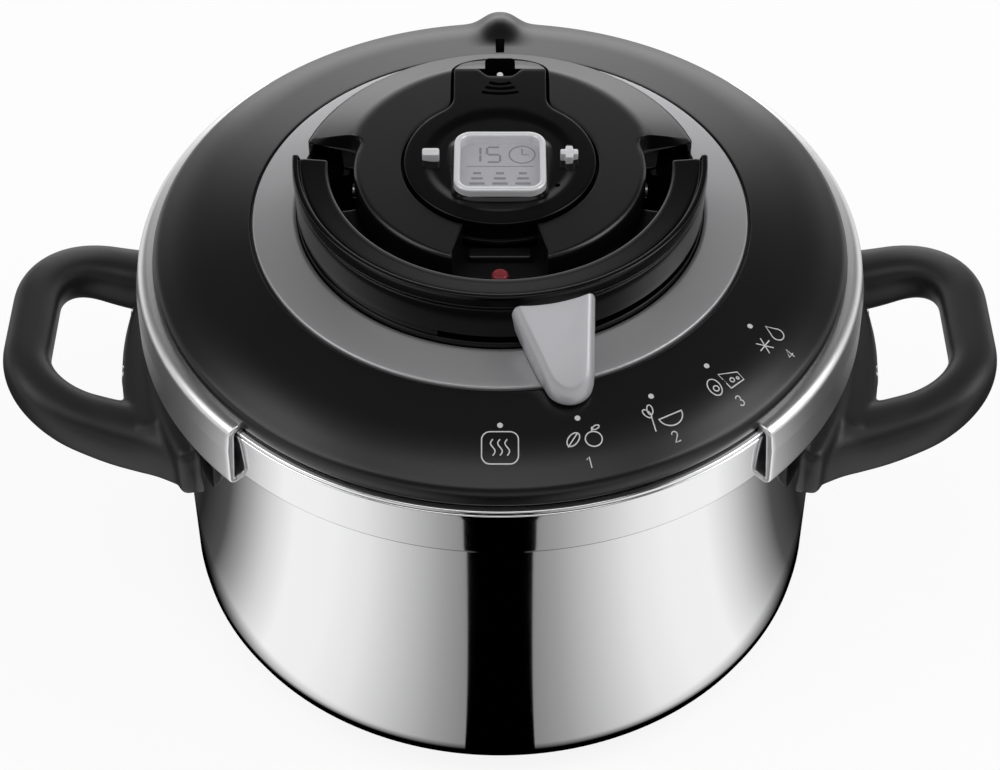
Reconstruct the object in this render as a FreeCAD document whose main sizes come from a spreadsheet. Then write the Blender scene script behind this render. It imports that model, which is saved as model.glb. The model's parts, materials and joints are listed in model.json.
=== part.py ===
import FreeCAD, Part
import math
import os

import Sketcher

# A stove-top pressure cooker: a steel pot, a lid held by two sliding jaws, a folding bail that works
# the jaws through two cam drums, a programme selector and a battery timer that lifts off the lid.
# Frame: +Z up, the pot's axis on Z, the floor at z = 0, the handles along X, the front towards -Y.

doc = FreeCAD.newDocument("pressure_cooker")
sheet = doc.addObject("Spreadsheet::Sheet", "sizes")

# Driving dimensions, in millimetres and degrees. Heights are measured from the floor where the name
# says level, and a name that ends in _gap is a clearance.
DIMENSIONS = {
    # clearances
    "body_gap": 0.3,
    "running_gap": 0.05,
    "seat_gap": 0.1,
    # pot
    "pot_radius": 112.0,
    "pot_wall": 1.2,
    "pot_corner": 22.0,
    "base_inset": 2.0,
    "base_height": 5.0,
    "base_bend": 2.0,
    "shelf_level": 128.0,
    "rim_overhang": 6.3,
    "rim_height": 17.5,
    # pot handles
    "grip_stand": 50.2,
    "grip_width": 17.6,
    "grip_depth": 26.0,
    "grip_bend": 8.2,
    "grip_drop": 29.0,
    "grip_corner_lean": 0.8,
    "grip_corner_side": 38.8,
    "grip_corner_bend": 25.0,
    "grip_knee_stand": 18.0,
    "grip_knee_side": 39.4,
    "grip_knee_bend": 50.0,
    "grip_root_sink": 15.0,
    "grip_root_side": 45.0,
    "root_plate_depth": 30.0,
    "root_plate_thickness": 7.0,
    "root_plate_span": 57.0,
    "web_stand": 19.0,
    "web_span": 38.0,
    "bracket_thickness": 1.5,
    "bracket_span": 24.0,
    "bracket_depth": 16.0,
    "boss_radius": 4.0,
    "boss_length": 10.0,
    "boss_side": 14.0,
    "screw_radius": 2.5,
    "screw_head_radius": 4.5,
    "screw_head_height": 3.2,
    "screw_head_depth": 4.0,
    # lid plate and seal
    "lid_thickness": 1.2,
    "skirt_inset": 3.4,
    "skirt_height": 11.5,
    "seal_lip": 3.4,
    "seal_back": 3.3,
    "seal_bend": 1.5,
    # lid cover
    "cover_inset": 2.3,
    "cover_wall": 2.4,
    "cover_edge_gap": 0.4,
    "cover_edge_rise": 6.0,
    "cover_edge_bend": 4.5,
    "cover_break_inset": 12.0,
    "cover_break_rise": 11.6,
    "cover_break_bend": 60.0,
    "cover_crown_rise": 16.3,
    "cover_ledge_rise": 15.3,
    "cover_ledge_wall": 2.0,
    "cover_lap": 7.0,
    "jaw_way_margin": 3.0,
    "swelling_width": 19.0,
    "swelling_length": 21.0,
    "swelling_height": 8.4,
    "swelling_inset": 20.0,
    "swelling_rise": 5.0,
    "steam_slot_width": 3.0,
    "steam_slot_inset": 8.2,
    "steam_slot_length": 10.0,
    # programme ring
    "ring_width": 14.6,
    "ring_outer_gap": 0.9,
    "ring_outer_height": 1.6,
    "ring_inner_height": 4.4,
    "ring_bend": 0.5,
    # hub housing; each rise is above the ledge of the cover that the housing stands on
    "hub_radius": 67.0,
    "hub_wall": 2.0,
    "hub_front_rise": 20.3,
    "hub_rear_rise": 13.7,
    "hub_side_rise": 9.2,
    "hub_front_span": 172.0,
    "hub_flange_width": 13.0,
    "hub_flange_rise": 4.1,
    "hub_flange_thickness": 2.0,
    "channel_floor_rise": 9.7,
    "channel_floor_thickness": 1.6,
    "channel_floor_span": 156.0,
    "slot_height": 2.6,
    "slot_start_angle": -17.0,
    "slot_sweep_angle": 92.0,
    "pillar_inset": 12.0,
    "pillar_radius": 4.0,
    # hub cap
    "disc_radius": 47.7,
    "disc_rise": 22.5,
    "disc_wall": 1.8,
    "disc_edge_bend": 1.6,
    "disc_skirt_height": 16.0,
    "rear_span": 146.0,
    "shoulder_width": 2.3,
    "shoulder_lap": 0.5,
    "shoulder_edge_height": 0.6,
    "shoulder_bend": 12.0,
    "well_wall": 1.5,
    "pocket_narrow": 10.5,
    "pocket_wide": 15.0,
    "pocket_rear_inset": 6.2,
    "pocket_front_inset": 5.7,
    "pocket_depth": 9.3,
    # bail
    "channel_width": 8.0,
    "bail_gap": 0.6,
    "bail_lap": 0.5,
    "bail_groove_inset": 2.5,
    "bail_groove_depth": 1.3,
    "bail_bead_width": 0.6,
    "bail_dish_depth": 0.9,
    "bail_inner_height": 2.6,
    "bail_outer_height": 5.3,
    "bail_bend": 0.8,
    "pivot_rise": 10.2,
    "ear_inset": 0.8,
    "ear_gap": 1.0,
    "ear_radius": 5.2,
    "ear_front": 12.0,
    "shaft_radius": 2.5,
    "drum_radius": 5.0,
    "drum_end_gap": 0.4,
    "drum_wall_gap": 1.5,
    "bail_angle": 90.0,
    # jaws
    "jaw_travel": 9.0,
    "jaw_span": 92.0,
    "jaw_sheet": 2.0,
    "jaw_wall_gap": 1.4,
    "jaw_lean": 1.7,
    "jaw_flange_width": 8.0,
    "jaw_bottom_gap": 0.4,
    "jaw_bottom_bend": 2.6,
    "jaw_top_bend": 3.6,
    "arm_width": 24.0,
    "arm_overrun": 5.0,
    "follower_radius": 3.0,
    "follower_tip": 1.0,
    "groove_depth": 2.0,
    "groove_overrun": 25.0,
    # mechanism frame
    "frame_thickness": 2.0,
    "frame_foot": 4.0,
    "frame_half_length": 22.0,
    "frame_upright": 2.4,
    "frame_upright_width": 14.0,
    "frame_head": 4.5,
    "follower_stand": 6.0,
    # selector
    "selector_angle": 14.5,
    "lever_root_half": 12.6,
    "lever_tip_radius": 8.0,
    "lever_tip_flat": 0.3,
    "lever_overreach": 8.8,
    "lever_knee_inset": 4.0,
    "lever_knee_rise": 8.3,
    "lever_knee_bend": 3.0,
    "lever_ring_gap": 0.5,
    "lever_tip_rise": 1.1,
    "tongue_thickness": 1.8,
    "tongue_half": 7.0,
    "tongue_lap": 1.0,
    "slider_width": 10.6,
    "slider_gap": 1.4,
    "slider_span": 38.0,
    # pressure indicator
    "indicator_radius": 2.5,
    "indicator_cap_radius": 3.4,
    "indicator_cap_height": 8.0,
    "indicator_cap_bend": 1.6,
    "indicator_rise": 18.3,
    "indicator_drop": 4.8,
    "indicator_eye_gap": 0.6,
    "bush_radius": 5.5,
    "bush_neck": 4.0,
    "bush_height": 3.0,
    # valves
    "operating_x": 0.0,
    "operating_y": 30.0,
    "safety_x": -26.0,
    "safety_y": -30.0,
    "valve_thread": 6.0,
    "valve_tail": 1.0,
    "valve_flange": 9.0,
    "valve_flange_height": 2.5,
    "valve_bore": 2.2,
    "valve_nose_wall": 2.2,
    "valve_nose_height": 2.5,
    "valve_nut_height": 3.5,
    "plunger_disc": 7.0,
    "plunger_disc_height": 1.6,
    "plunger_stem": 1.8,
    "plunger_stem_height": 9.0,
    "spring_radius": 4.6,
    "spring_wire": 0.5,
    "spring_turns": 4.5,
    "bonnet_radius": 9.4,
    "bonnet_wall": 1.0,
    "bonnet_gap": 0.8,
    # steam duct
    "duct_radius": 3.6,
    "duct_wall": 0.8,
    "duct_rise": 6.0,
    # cover screws
    "cover_screw_radius": 2.0,
    "cover_screw_length": 12.0,
    "cover_screw_head": 3.8,
    "cover_screw_head_height": 2.4,
    # timer
    "timer_radius": 31.2,
    "timer_proud": 2.8,
    "timer_depth": 5.0,
    "timer_wall": 1.5,
    "stem_half": 15.5,
    "stem_overlap": 3.2,
    "stem_inset": 11.0,
    "stem_depth": 14.3,
    "window_half": 12.9,
    "window_front": -17.0,
    "window_rear": 8.2,
    "window_corner": 3.6,
    "bezel_border": 2.0,
    "bezel_proud": 2.0,
    "window_thickness": 1.2,
    "window_drop": 0.5,
    "panel_rise": 4.2,
    "panel_thickness": 1.8,
    "panel_border": 0.8,
    "board_inset": 2.2,
    "board_rise": 2.0,
    "board_thickness": 1.0,
    "dome_radius": 2.6,
    "dome_height": 0.9,
    "button_place": 22.5,
    "button_row": 1.0,
    "minus_half_length": 2.8,
    "minus_half_width": 1.7,
    "plus_half_length": 2.9,
    "plus_half_width": 1.2,
    "button_proud": 1.2,
    "button_foot_border": 0.9,
    "button_foot_thickness": 0.8,
    "button_stub_radius": 1.6,
    "button_travel": 0.7,
    "sound_hole_x": 18.5,
    "sound_hole_y": -12.4,
    "sound_hole_radius": 0.9,
    "buzzer_place": 17.5,
    "buzzer_radius": 6.0,
    "buzzer_height": 2.4,
    "battery_radius": 12.2,
    "battery_height": 5.0,
    "battery_side_gap": 0.1,
    "contact_width": 5.0,
    "contact_thickness": 0.4,
    "contact_length": 18.0,
    "door_radius": 13.0,
    "door_slot_width": 1.6,
    "door_slot_length": 14.0,
    "door_slot_depth": 0.8,
}

for row, (alias, number) in enumerate(DIMENSIONS.items(), start=1):
    sheet.set("A%d" % row, alias)
    sheet.set("B%d" % row, str(number))
    sheet.setAlias("B%d" % row, alias)
doc.recompute()


class Size:
    """A dimension that carries both its number and the expression on the sheet that gives it."""

    def __init__(self, text, number):
        self.text = text
        self.number = number

    def __add__(self, other):
        other = as_size(other)
        return Size("(%s + %s)" % (self.text, other.text), self.number + other.number)

    def __sub__(self, other):
        other = as_size(other)
        return Size("(%s - %s)" % (self.text, other.text), self.number - other.number)

    def __mul__(self, other):
        other = as_size(other)
        return Size("(%s * %s)" % (self.text, other.text), self.number * other.number)

    def __truediv__(self, other):
        other = as_size(other)
        return Size("(%s / %s)" % (self.text, other.text), self.number / other.number)

    def __neg__(self):
        return Size("(0 - %s)" % self.text, -self.number)

    def root(self):
        return Size("sqrt(%s)" % self.text, math.sqrt(self.number))

    def __radd__(self, other):
        return as_size(other) + self

    def __rsub__(self, other):
        return as_size(other) - self

    def __rmul__(self, other):
        return as_size(other) * self


def as_size(value):
    """A Size from a Size or a plain number."""
    if isinstance(value, Size):
        return value
    return Size(repr(float(value)), float(value))


class Sheet:
    """Gives each cell of the sheet as a Size, by its alias."""

    def __getattr__(self, alias):
        return Size("sizes.%s" % alias, float(sheet.get(alias)))


d = Sheet()

# Radii and places that several pieces share.
pot_inner = d.pot_radius - d.pot_wall
base_radius = d.pot_radius - d.pot_corner - d.base_inset
rim_radius = d.pot_radius + d.rim_overhang
band_inner = rim_radius - d.pot_wall
grip_reach = d.pot_radius + d.grip_stand
web_reach = d.pot_radius + d.web_stand
boss_reach = d.pot_radius + d.boss_length
screw_seat = web_reach - d.screw_head_depth
skirt_radius = pot_inner - d.skirt_inset
cover_radius = rim_radius - d.cover_inset
cover_break_radius = cover_radius - d.cover_break_inset
cover_inner_radius = d.hub_radius + d.body_gap + d.ring_width + d.ring_outer_gap
cover_hole_radius = d.hub_radius - d.cover_lap
slot_front = cover_inner_radius + d.steam_slot_inset
slot_rear = slot_front + d.steam_slot_length
outlet_half = d.duct_radius + d.duct_wall
outlet_front = slot_front - d.duct_wall
hub_inner = d.hub_radius - d.hub_wall
hub_flange_radius = hub_inner - d.hub_flange_width
disc_inner = d.disc_radius - d.disc_wall
pillar_side = (d.hub_radius - d.pillar_inset) * math.sqrt(0.5)
indicator_place = d.disc_radius + d.body_gap
bail_inner_radius = d.disc_radius + d.channel_width
bail_outer_radius = d.hub_radius + d.bail_lap
ear_inner = bail_inner_radius + d.ear_inset
ear_outer = hub_inner - d.ear_gap
follower_place = d.frame_half_length + d.follower_stand
jaw_bottom_radius = rim_radius + d.body_gap + d.jaw_sheet + d.body_gap + d.jaw_lean
jaw_top_radius = rim_radius + d.body_gap + d.jaw_sheet + d.body_gap
jaw_flange_radius = cover_radius - d.jaw_flange_width
slider_outer = hub_inner - d.slider_gap
slider_inner = slider_outer - d.slider_width
stem_start = d.timer_radius - d.stem_overlap
stem_end = d.hub_radius - d.stem_inset
battery_place = stem_end - d.timer_wall - d.battery_radius - d.battery_side_gap

# Levels that several pieces share.
grip_level = d.shelf_level - d.grip_drop
shelf_top = d.shelf_level + d.pot_wall
rim_top = d.shelf_level + d.rim_height
lid_bottom = rim_top + d.body_gap
lid_top = lid_bottom + d.lid_thickness
arm_bottom = lid_top + d.body_gap
arm_top = arm_bottom + d.jaw_sheet
duct_level = lid_top + d.duct_rise
ledge_level = lid_top + d.cover_ledge_rise
flange_level = ledge_level + d.hub_flange_rise
flange_top = flange_level + d.hub_flange_thickness
tongue_level = flange_top + d.body_gap
channel_floor = ledge_level + d.channel_floor_rise
channel_floor_top = channel_floor + d.channel_floor_thickness
hub_side_level = ledge_level + d.hub_side_rise
hub_rear_level = ledge_level + d.hub_rear_rise
hub_front_level = ledge_level + d.hub_front_rise
disc_level = ledge_level + d.disc_rise
disc_under = disc_level - d.disc_wall
bail_bottom = hub_front_level + d.bail_gap
pivot_level = ledge_level + d.pivot_rise
drum_bottom = pivot_level - d.drum_radius
timer_top = disc_level + d.timer_proud
timer_roof = timer_top - d.timer_wall
timer_bottom = disc_level - d.timer_depth
timer_seam = timer_bottom + d.timer_wall
stem_bottom = disc_level - d.stem_depth
stem_seam = stem_bottom + d.timer_wall
board_level = timer_bottom + d.board_rise
board_top = board_level + d.board_thickness
bezel_top = timer_top + d.bezel_proud
indicator_top = ledge_level + d.indicator_rise

parts = []
ORIGIN = -1

# The housing's pillars, and the screws that go up into them.
PILLARS = 4


def bind(target, path, size):
    """Bind one property of an object to an expression on the sheet."""
    target.setExpression(path, as_size(size).text)


def new_part(label, turn=0.0):
    """A PartDesign body for one piece, turned about the pot's axis by turn degrees."""
    body = doc.addObject("PartDesign::Body", label)
    body.Label = label
    body.AllowCompound = True
    rotation = FreeCAD.Rotation(FreeCAD.Vector(0, 0, 1), as_size(turn).number)
    body.Placement = FreeCAD.Placement(FreeCAD.Vector(0, 0, 0), rotation)
    if isinstance(turn, Size):
        bind(body, "Placement.Rotation.Angle", turn)
    parts.append(body)
    return body


def origin_item(body, role):
    """The body's own origin plane or axis with this role."""
    for item in body.Origin.OriginFeatures:
        if item.Role == role:
            return item
    raise ValueError(role)


def new_sketch(body, plane, offset=0.0, rise=0.0, tilt=0.0):
    """A sketch on an origin plane, moved along its normal, up in its own plane, and tilted."""
    sketch = body.newObject("Sketcher::SketchObject", "outline")
    sketch.AttachmentSupport = [(origin_item(body, plane + "_Plane"), "")]
    sketch.MapMode = "FlatFace"
    rotation = FreeCAD.Rotation(FreeCAD.Vector(1, 0, 0), -as_size(tilt).number)
    base = FreeCAD.Vector(0, as_size(rise).number, as_size(offset).number)
    sketch.AttachmentOffset = FreeCAD.Placement(base, rotation)
    bind(sketch, "AttachmentOffset.Base.z", offset)
    bind(sketch, "AttachmentOffset.Base.y", rise)
    return sketch


def hold(sketch, geometry, position, x, y):
    """Fix one point of the sketch at (x, y) from its origin."""
    for kind, size in (("DistanceX", as_size(x)), ("DistanceY", as_size(y))):
        index = sketch.addConstraint(Sketcher.Constraint(kind, ORIGIN, 1, geometry, position, size.number))
        sketch.renameConstraint(index, "%s%d" % (kind, index))
        bind(sketch, "Constraints.%s%d" % (kind, index), size)


def hold_radius(sketch, geometry, radius):
    """Fix the radius of a circle or an arc."""
    radius = as_size(radius)
    index = sketch.addConstraint(Sketcher.Constraint("Radius", geometry, radius.number))
    sketch.renameConstraint(index, "Radius%d" % index)
    bind(sketch, "Constraints.Radius%d" % index, radius)


def draw_circle(sketch, x, y, radius):
    """A circle held by its centre and radius."""
    centre = FreeCAD.Vector(as_size(x).number, as_size(y).number, 0)
    circle = Part.Circle(centre, FreeCAD.Vector(0, 0, 1), as_size(radius).number)
    geometry = sketch.addGeometry(circle, False)
    hold(sketch, geometry, 3, x, y)
    hold_radius(sketch, geometry, radius)


def corner_arc(before, corner, after, radius):
    """The arc that rounds a corner: its centre, its two tangent points and whether it turns left."""
    towards_before = (before - corner).normalize()
    towards_after = (after - corner).normalize()
    half = towards_before.getAngle(towards_after) / 2
    entry = corner + towards_before * (radius / math.tan(half))
    leave = corner + towards_after * (radius / math.tan(half))
    middle = (towards_before + towards_after).normalize()
    centre = corner + middle * (radius / math.sin(half))
    left = (corner - before).cross(after - corner).z > 0
    return centre, entry, leave, left


def draw_outline(sketch, points, closed=True):
    """A chain of straight lines through (x, y) or (x, y, bend) points, where bend rounds the corner."""
    corners = [FreeCAD.Vector(as_size(p[0]).number, as_size(p[1]).number, 0) for p in points]
    count = len(points)
    arcs = {}
    for index, point in enumerate(points):
        if len(point) == 3:
            before = corners[index - 1]
            after = corners[(index + 1) % count]
            arcs[index] = corner_arc(before, corners[index], after, as_size(point[2]).number)
    sides = count if closed else count - 1
    lines = []
    for index in range(sides):
        following = (index + 1) % count
        start = arcs[index][2] if index in arcs else corners[index]
        end = arcs[following][1] if following in arcs else corners[following]
        lines.append(sketch.addGeometry(Part.LineSegment(start, end), False))
    for index, point in enumerate(points):
        if not closed and index == 0:
            hold(sketch, lines[0], 1, point[0], point[1])
        elif not closed and index == count - 1:
            hold(sketch, lines[-1], 2, point[0], point[1])
        elif index in arcs:
            round_corner(sketch, lines[index - 1], lines[index], arcs[index], point)
        else:
            sketch.addConstraint(Sketcher.Constraint("Coincident", lines[index - 1], 2, lines[index], 1))
            hold(sketch, lines[index], 1, point[0], point[1])


def round_corner(sketch, line_in, line_out, arc, point):
    """A tangent arc between two lines whose corner stays at the given point."""
    centre, entry, leave, left = arc
    radius = as_size(point[2]).number
    first, last = (entry, leave) if left else (leave, entry)
    start_angle = math.atan2(first.y - centre.y, first.x - centre.x)
    end_angle = math.atan2(last.y - centre.y, last.x - centre.x)
    circle = Part.Circle(centre, FreeCAD.Vector(0, 0, 1), radius)
    geometry = sketch.addGeometry(Part.ArcOfCircle(circle, start_angle, end_angle), False)
    corner = FreeCAD.Vector(as_size(point[0]).number, as_size(point[1]).number, 0)
    mark = sketch.addGeometry(Part.Point(corner), True)
    first_line, last_line = (1, 2) if left else (2, 1)
    sketch.addConstraint(Sketcher.Constraint("Tangent", line_in, 2, geometry, first_line))
    sketch.addConstraint(Sketcher.Constraint("Tangent", line_out, 1, geometry, last_line))
    sketch.addConstraint(Sketcher.Constraint("PointOnObject", mark, 1, line_in))
    sketch.addConstraint(Sketcher.Constraint("PointOnObject", mark, 1, line_out))
    hold_radius(sketch, geometry, point[2])
    hold(sketch, mark, 1, point[0], point[1])


def draw(sketch, shape):
    """Draw a circle given as ("circle", x, y, radius), or an outline given as a list of points."""
    if shape[0] == "circle":
        draw_circle(sketch, *shape[1:])
    else:
        draw_outline(sketch, shape)


def prism(body, plane, shapes, low, high, cut=False):
    """Pad or cut one or more outlines straight along a plane's axis, from low to high."""
    low = as_size(low)
    high = as_size(high)
    if plane == "XZ":
        offset = -low if cut else -high
    else:
        offset = high if cut else low
    sketch = new_sketch(body, plane, offset)
    for shape in shapes:
        draw(sketch, shape)
    feature = body.newObject("PartDesign::Pocket" if cut else "PartDesign::Pad", "prism")
    feature.Profile = sketch
    feature.Length = (high - low).number
    bind(feature, "Length", high - low)
    body.Tip = feature
    return feature


def turned(body, plane, outline, span=360.0, cut=False, axis="V_Axis", rise=0.0):
    """Turn an outline about the sketch's vertical or level axis, span degrees about its plane."""
    sketch = new_sketch(body, plane, 0.0, rise)
    draw_outline(sketch, outline)
    feature = body.newObject("PartDesign::Groove" if cut else "PartDesign::Revolution", "turned")
    feature.Profile = sketch
    feature.ReferenceAxis = (sketch, [axis])
    feature.Midplane = True
    feature.Angle = as_size(span).number
    bind(feature, "Angle", span)
    body.Tip = feature
    return feature


def mirrored(body, features, plane):
    """Repeat features on the other side of an origin plane of the body."""
    feature = body.newObject("PartDesign::Mirrored", "mirrored")
    feature.Originals = features
    feature.MirrorPlane = (origin_item(body, plane + "_Plane"), [""])
    body.Tip = feature
    return feature


def around(body, features, count):
    """Repeat features evenly around the pot's axis."""
    feature = body.newObject("PartDesign::PolarPattern", "around")
    feature.Originals = features
    feature.Axis = (origin_item(body, "Z_Axis"), [""])
    feature.Angle = 360.0
    feature.Occurrences = count
    body.Tip = feature
    return feature


def box_outline(x_low, x_high, y_low, y_high, bend=None):
    """A rectangle, with rounded corners where bend is given."""
    corners = [(x_low, y_low), (x_high, y_low), (x_high, y_high), (x_low, y_high)]
    if bend is None:
        return corners
    return [corner + (bend,) for corner in corners]


# ---------------------------------------------------------------- pot

def pot_shell():
    """A deep-drawn pot whose wall steps out to a band at the rim."""
    body = new_part("pot_shell")
    floor = d.base_height
    outline = [
        (0.0, floor),
        (d.pot_radius, floor, d.pot_corner),
        (d.pot_radius, d.shelf_level),
        (rim_radius, d.shelf_level, d.pot_wall),
        (rim_radius, rim_top),
        (band_inner, rim_top),
        (band_inner, shelf_top),
        (pot_inner, shelf_top),
        (pot_inner, floor + d.pot_wall, d.pot_corner - d.pot_wall),
        (0.0, floor + d.pot_wall),
    ]
    turned(body, "XZ", outline)


def base_disc():
    """The heat-spreading base bonded under the pot."""
    body = new_part("base_disc")
    outline = [
        (0.0, 0.0),
        (base_radius, 0.0, d.base_bend),
        (base_radius, d.base_height),
        (0.0, d.base_height),
    ]
    turned(body, "XZ", outline)


def handle_bracket(label, turn):
    """A welded plate that follows the pot wall, with two threaded bosses."""
    body = new_part(label, turn)
    low = grip_level - d.bracket_depth / 2
    high = grip_level + d.bracket_depth / 2
    outer = d.pot_radius + d.bracket_thickness
    turned(body, "XZ", box_outline(d.pot_radius, outer, low, high), d.bracket_span)
    boss = ("circle", d.boss_side, grip_level, d.boss_radius)
    pad = prism(body, "YZ", [boss], d.pot_radius + d.body_gap, boss_reach)
    mirrored(body, [pad], "XZ")
    thread = ("circle", d.boss_side, grip_level, d.screw_radius + d.seat_gap)
    hole = prism(body, "YZ", [thread], outer, boss_reach, cut=True)
    mirrored(body, [hole], "XZ")


def pot_handle(label, turn):
    """A moulded loop: a grip swept round three sides, a plate on the pot wall and a web."""
    body = new_part(label, turn)
    inner = d.pot_radius + d.bracket_thickness + d.body_gap
    path = new_sketch(body, "XY", grip_level)
    path_points = [
        (grip_reach, 0.0),
        (grip_reach - d.grip_corner_lean, d.grip_corner_side, d.grip_corner_bend),
        (d.pot_radius + d.grip_knee_stand, d.grip_knee_side, d.grip_knee_bend),
        (d.pot_radius - d.grip_root_sink, d.grip_root_side),
    ]
    draw_outline(path, path_points, closed=False)
    section = new_sketch(body, "XZ")
    half_width = d.grip_width / 2
    low = grip_level - d.grip_depth / 2
    high = grip_level + d.grip_depth / 2
    draw_outline(section, box_outline(grip_reach - half_width, grip_reach + half_width,
                                      low, high, d.grip_bend))
    arm = body.newObject("PartDesign::AdditivePipe", "arm")
    arm.Profile = section
    arm.Spine = (path, [])
    body.Tip = arm
    mirrored(body, [arm], "XZ")
    plate = box_outline(inner, inner + d.root_plate_thickness,
                        grip_level - d.root_plate_depth / 2, grip_level + d.root_plate_depth / 2)
    turned(body, "XZ", plate, d.root_plate_span)
    turned(body, "XZ", box_outline(inner, web_reach, low, high), d.web_span)
    turned(body, "XZ", box_outline(0.0, inner, 0.0, rim_top), cut=True)
    holes = []
    for radius, start, end in ((d.boss_radius, d.pot_radius, boss_reach + d.body_gap),
                               (d.screw_radius, boss_reach, web_reach),
                               (d.screw_head_radius, screw_seat, web_reach)):
        hole = ("circle", d.boss_side, grip_level, radius + d.body_gap)
        holes.append(prism(body, "YZ", [hole], start, end, cut=True))
    mirrored(body, holes, "XZ")


def handle_screws():
    """Two pan-head screws to each handle, as one group."""
    body = new_part("handle_screws")
    shanks = []
    heads = []
    for side in (d.boss_side, -d.boss_side):
        shanks.append(("circle", side, grip_level, d.screw_radius))
        heads.append(("circle", side, grip_level, d.screw_head_radius))
    pads = [prism(body, "YZ", shanks, d.pot_radius + d.bracket_thickness, screw_seat)]
    pads.append(prism(body, "YZ", heads, screw_seat, screw_seat + d.screw_head_height))
    mirrored(body, pads, "YZ")


# ---------------------------------------------------------------- lid

def lid_plate():
    """A pressed disc with a lip over the rim band and a skirt that keeps the seal in place."""
    body = new_part("lid_plate")
    skirt_inner = skirt_radius - d.lid_thickness
    lip = rim_radius - d.body_gap
    outline = [
        (0.0, lid_bottom),
        (skirt_inner, lid_bottom),
        (skirt_inner, lid_bottom - d.skirt_height),
        (skirt_radius, lid_bottom - d.skirt_height),
        (skirt_radius, lid_bottom),
        (lip, lid_bottom),
        (lip, lid_top),
        (0.0, lid_top),
    ]
    turned(body, "XZ", outline)
    seat_hole = d.valve_thread + d.seat_gap
    holes = [
        ("circle", d.operating_x, d.operating_y, seat_hole),
        ("circle", d.safety_x, d.safety_y, seat_hole),
        ("circle", 0.0, -indicator_place, d.bush_neck + d.seat_gap),
    ]
    prism(body, "XY", holes, lid_bottom, lid_top, cut=True)
    screw = ("circle", pillar_side, pillar_side, d.cover_screw_radius + d.seat_gap)
    hole = prism(body, "XY", [screw], lid_bottom, lid_top, cut=True)
    around(body, [hole], PILLARS)


def lid_seal():
    """A silicone ring with a lip above and below, open towards the pressure."""
    body = new_part("lid_seal")
    inner = skirt_radius + d.seat_gap
    outer = band_inner - d.body_gap
    low = shelf_top + d.body_gap
    outline = [
        (inner, low),
        (outer, low, d.seal_bend),
        (outer, lid_bottom, d.seal_bend),
        (inner, lid_bottom),
        (inner, lid_bottom - d.seal_lip),
        (outer - d.seal_back, lid_bottom - d.seal_lip),
        (outer - d.seal_back, low + d.seal_lip),
        (inner, low + d.seal_lip),
    ]
    turned(body, "XZ", outline)


def lid_cover():
    """The black cover: a domed shell with a ledge for the ring and a swelling over the steam outlet."""
    body = new_part("lid_cover")
    low = lid_top + d.cover_edge_gap
    edge = lid_top + d.cover_edge_rise
    break_level = lid_top + d.cover_break_rise
    crown = lid_top + d.cover_crown_rise
    wall = d.cover_wall
    ledge_under = ledge_level - d.cover_ledge_wall
    outline = [
        (cover_radius - wall, low),
        (cover_radius, low),
        (cover_radius, edge, d.cover_edge_bend),
        (cover_break_radius, break_level, d.cover_break_bend),
        (cover_inner_radius, crown),
        (cover_inner_radius, ledge_level),
        (cover_hole_radius, ledge_level),
        (cover_hole_radius, ledge_under),
        (cover_inner_radius, ledge_under),
        (cover_break_radius - wall / 2, break_level - wall),
        (cover_radius - wall, edge - wall / 2),
    ]
    turned(body, "XZ", outline)
    swelling = body.newObject("PartDesign::AdditiveEllipsoid", "swelling")
    swelling.AttachmentSupport = [(origin_item(body, "XY_Plane"), "")]
    swelling.MapMode = "FlatFace"
    swelling.Angle1 = 0.0
    for path, size in (("Radius1", d.swelling_height),
                       ("Radius2", d.swelling_width),
                       ("Radius3", d.swelling_length),
                       ("AttachmentOffset.Base.y", cover_radius - d.swelling_inset),
                       ("AttachmentOffset.Base.z", lid_top + d.swelling_rise)):
        bind(swelling, path, size)
    body.Tip = swelling
    gap = d.seat_gap
    outlet = box_outline(-(outlet_half + gap), outlet_half + gap,
                         outlet_front - gap, slot_rear + d.duct_wall + gap)
    prism(body, "XY", [outlet], low, duct_level + outlet_half + gap, cut=True)
    duct_way = ("circle", 0.0, duct_level, d.duct_radius + gap)
    prism(body, "XZ", [duct_way], cover_hole_radius, outlet_front, cut=True)
    half_slot = d.steam_slot_width / 2
    slot = box_outline(-half_slot, half_slot, slot_front, slot_rear)
    prism(body, "XY", [slot], lid_top, crown + d.swelling_rise, cut=True)
    way_low = lid_top
    way_high = arm_top + d.body_gap
    way_inner = jaw_flange_radius - d.jaw_way_margin
    way_outer = cover_radius + wall
    way_span = d.jaw_span + 2 * d.jaw_way_margin
    turned(body, "XZ", box_outline(way_inner, way_outer, way_low, way_high), way_span, cut=True)
    turned(body, "XZ", box_outline(-way_outer, -way_inner, way_low, way_high), way_span, cut=True)


def programme_ring():
    """The satin ring on the cover's ledge, sloping down outwards."""
    body = new_part("programme_ring")
    inner = d.hub_radius + d.body_gap
    outer = inner + d.ring_width
    outline = [
        (inner, ledge_level),
        (outer, ledge_level),
        (outer, ledge_level + d.ring_outer_height, d.ring_bend),
        (inner, ledge_level + d.ring_inner_height),
    ]
    turned(body, "XZ", outline)


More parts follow.
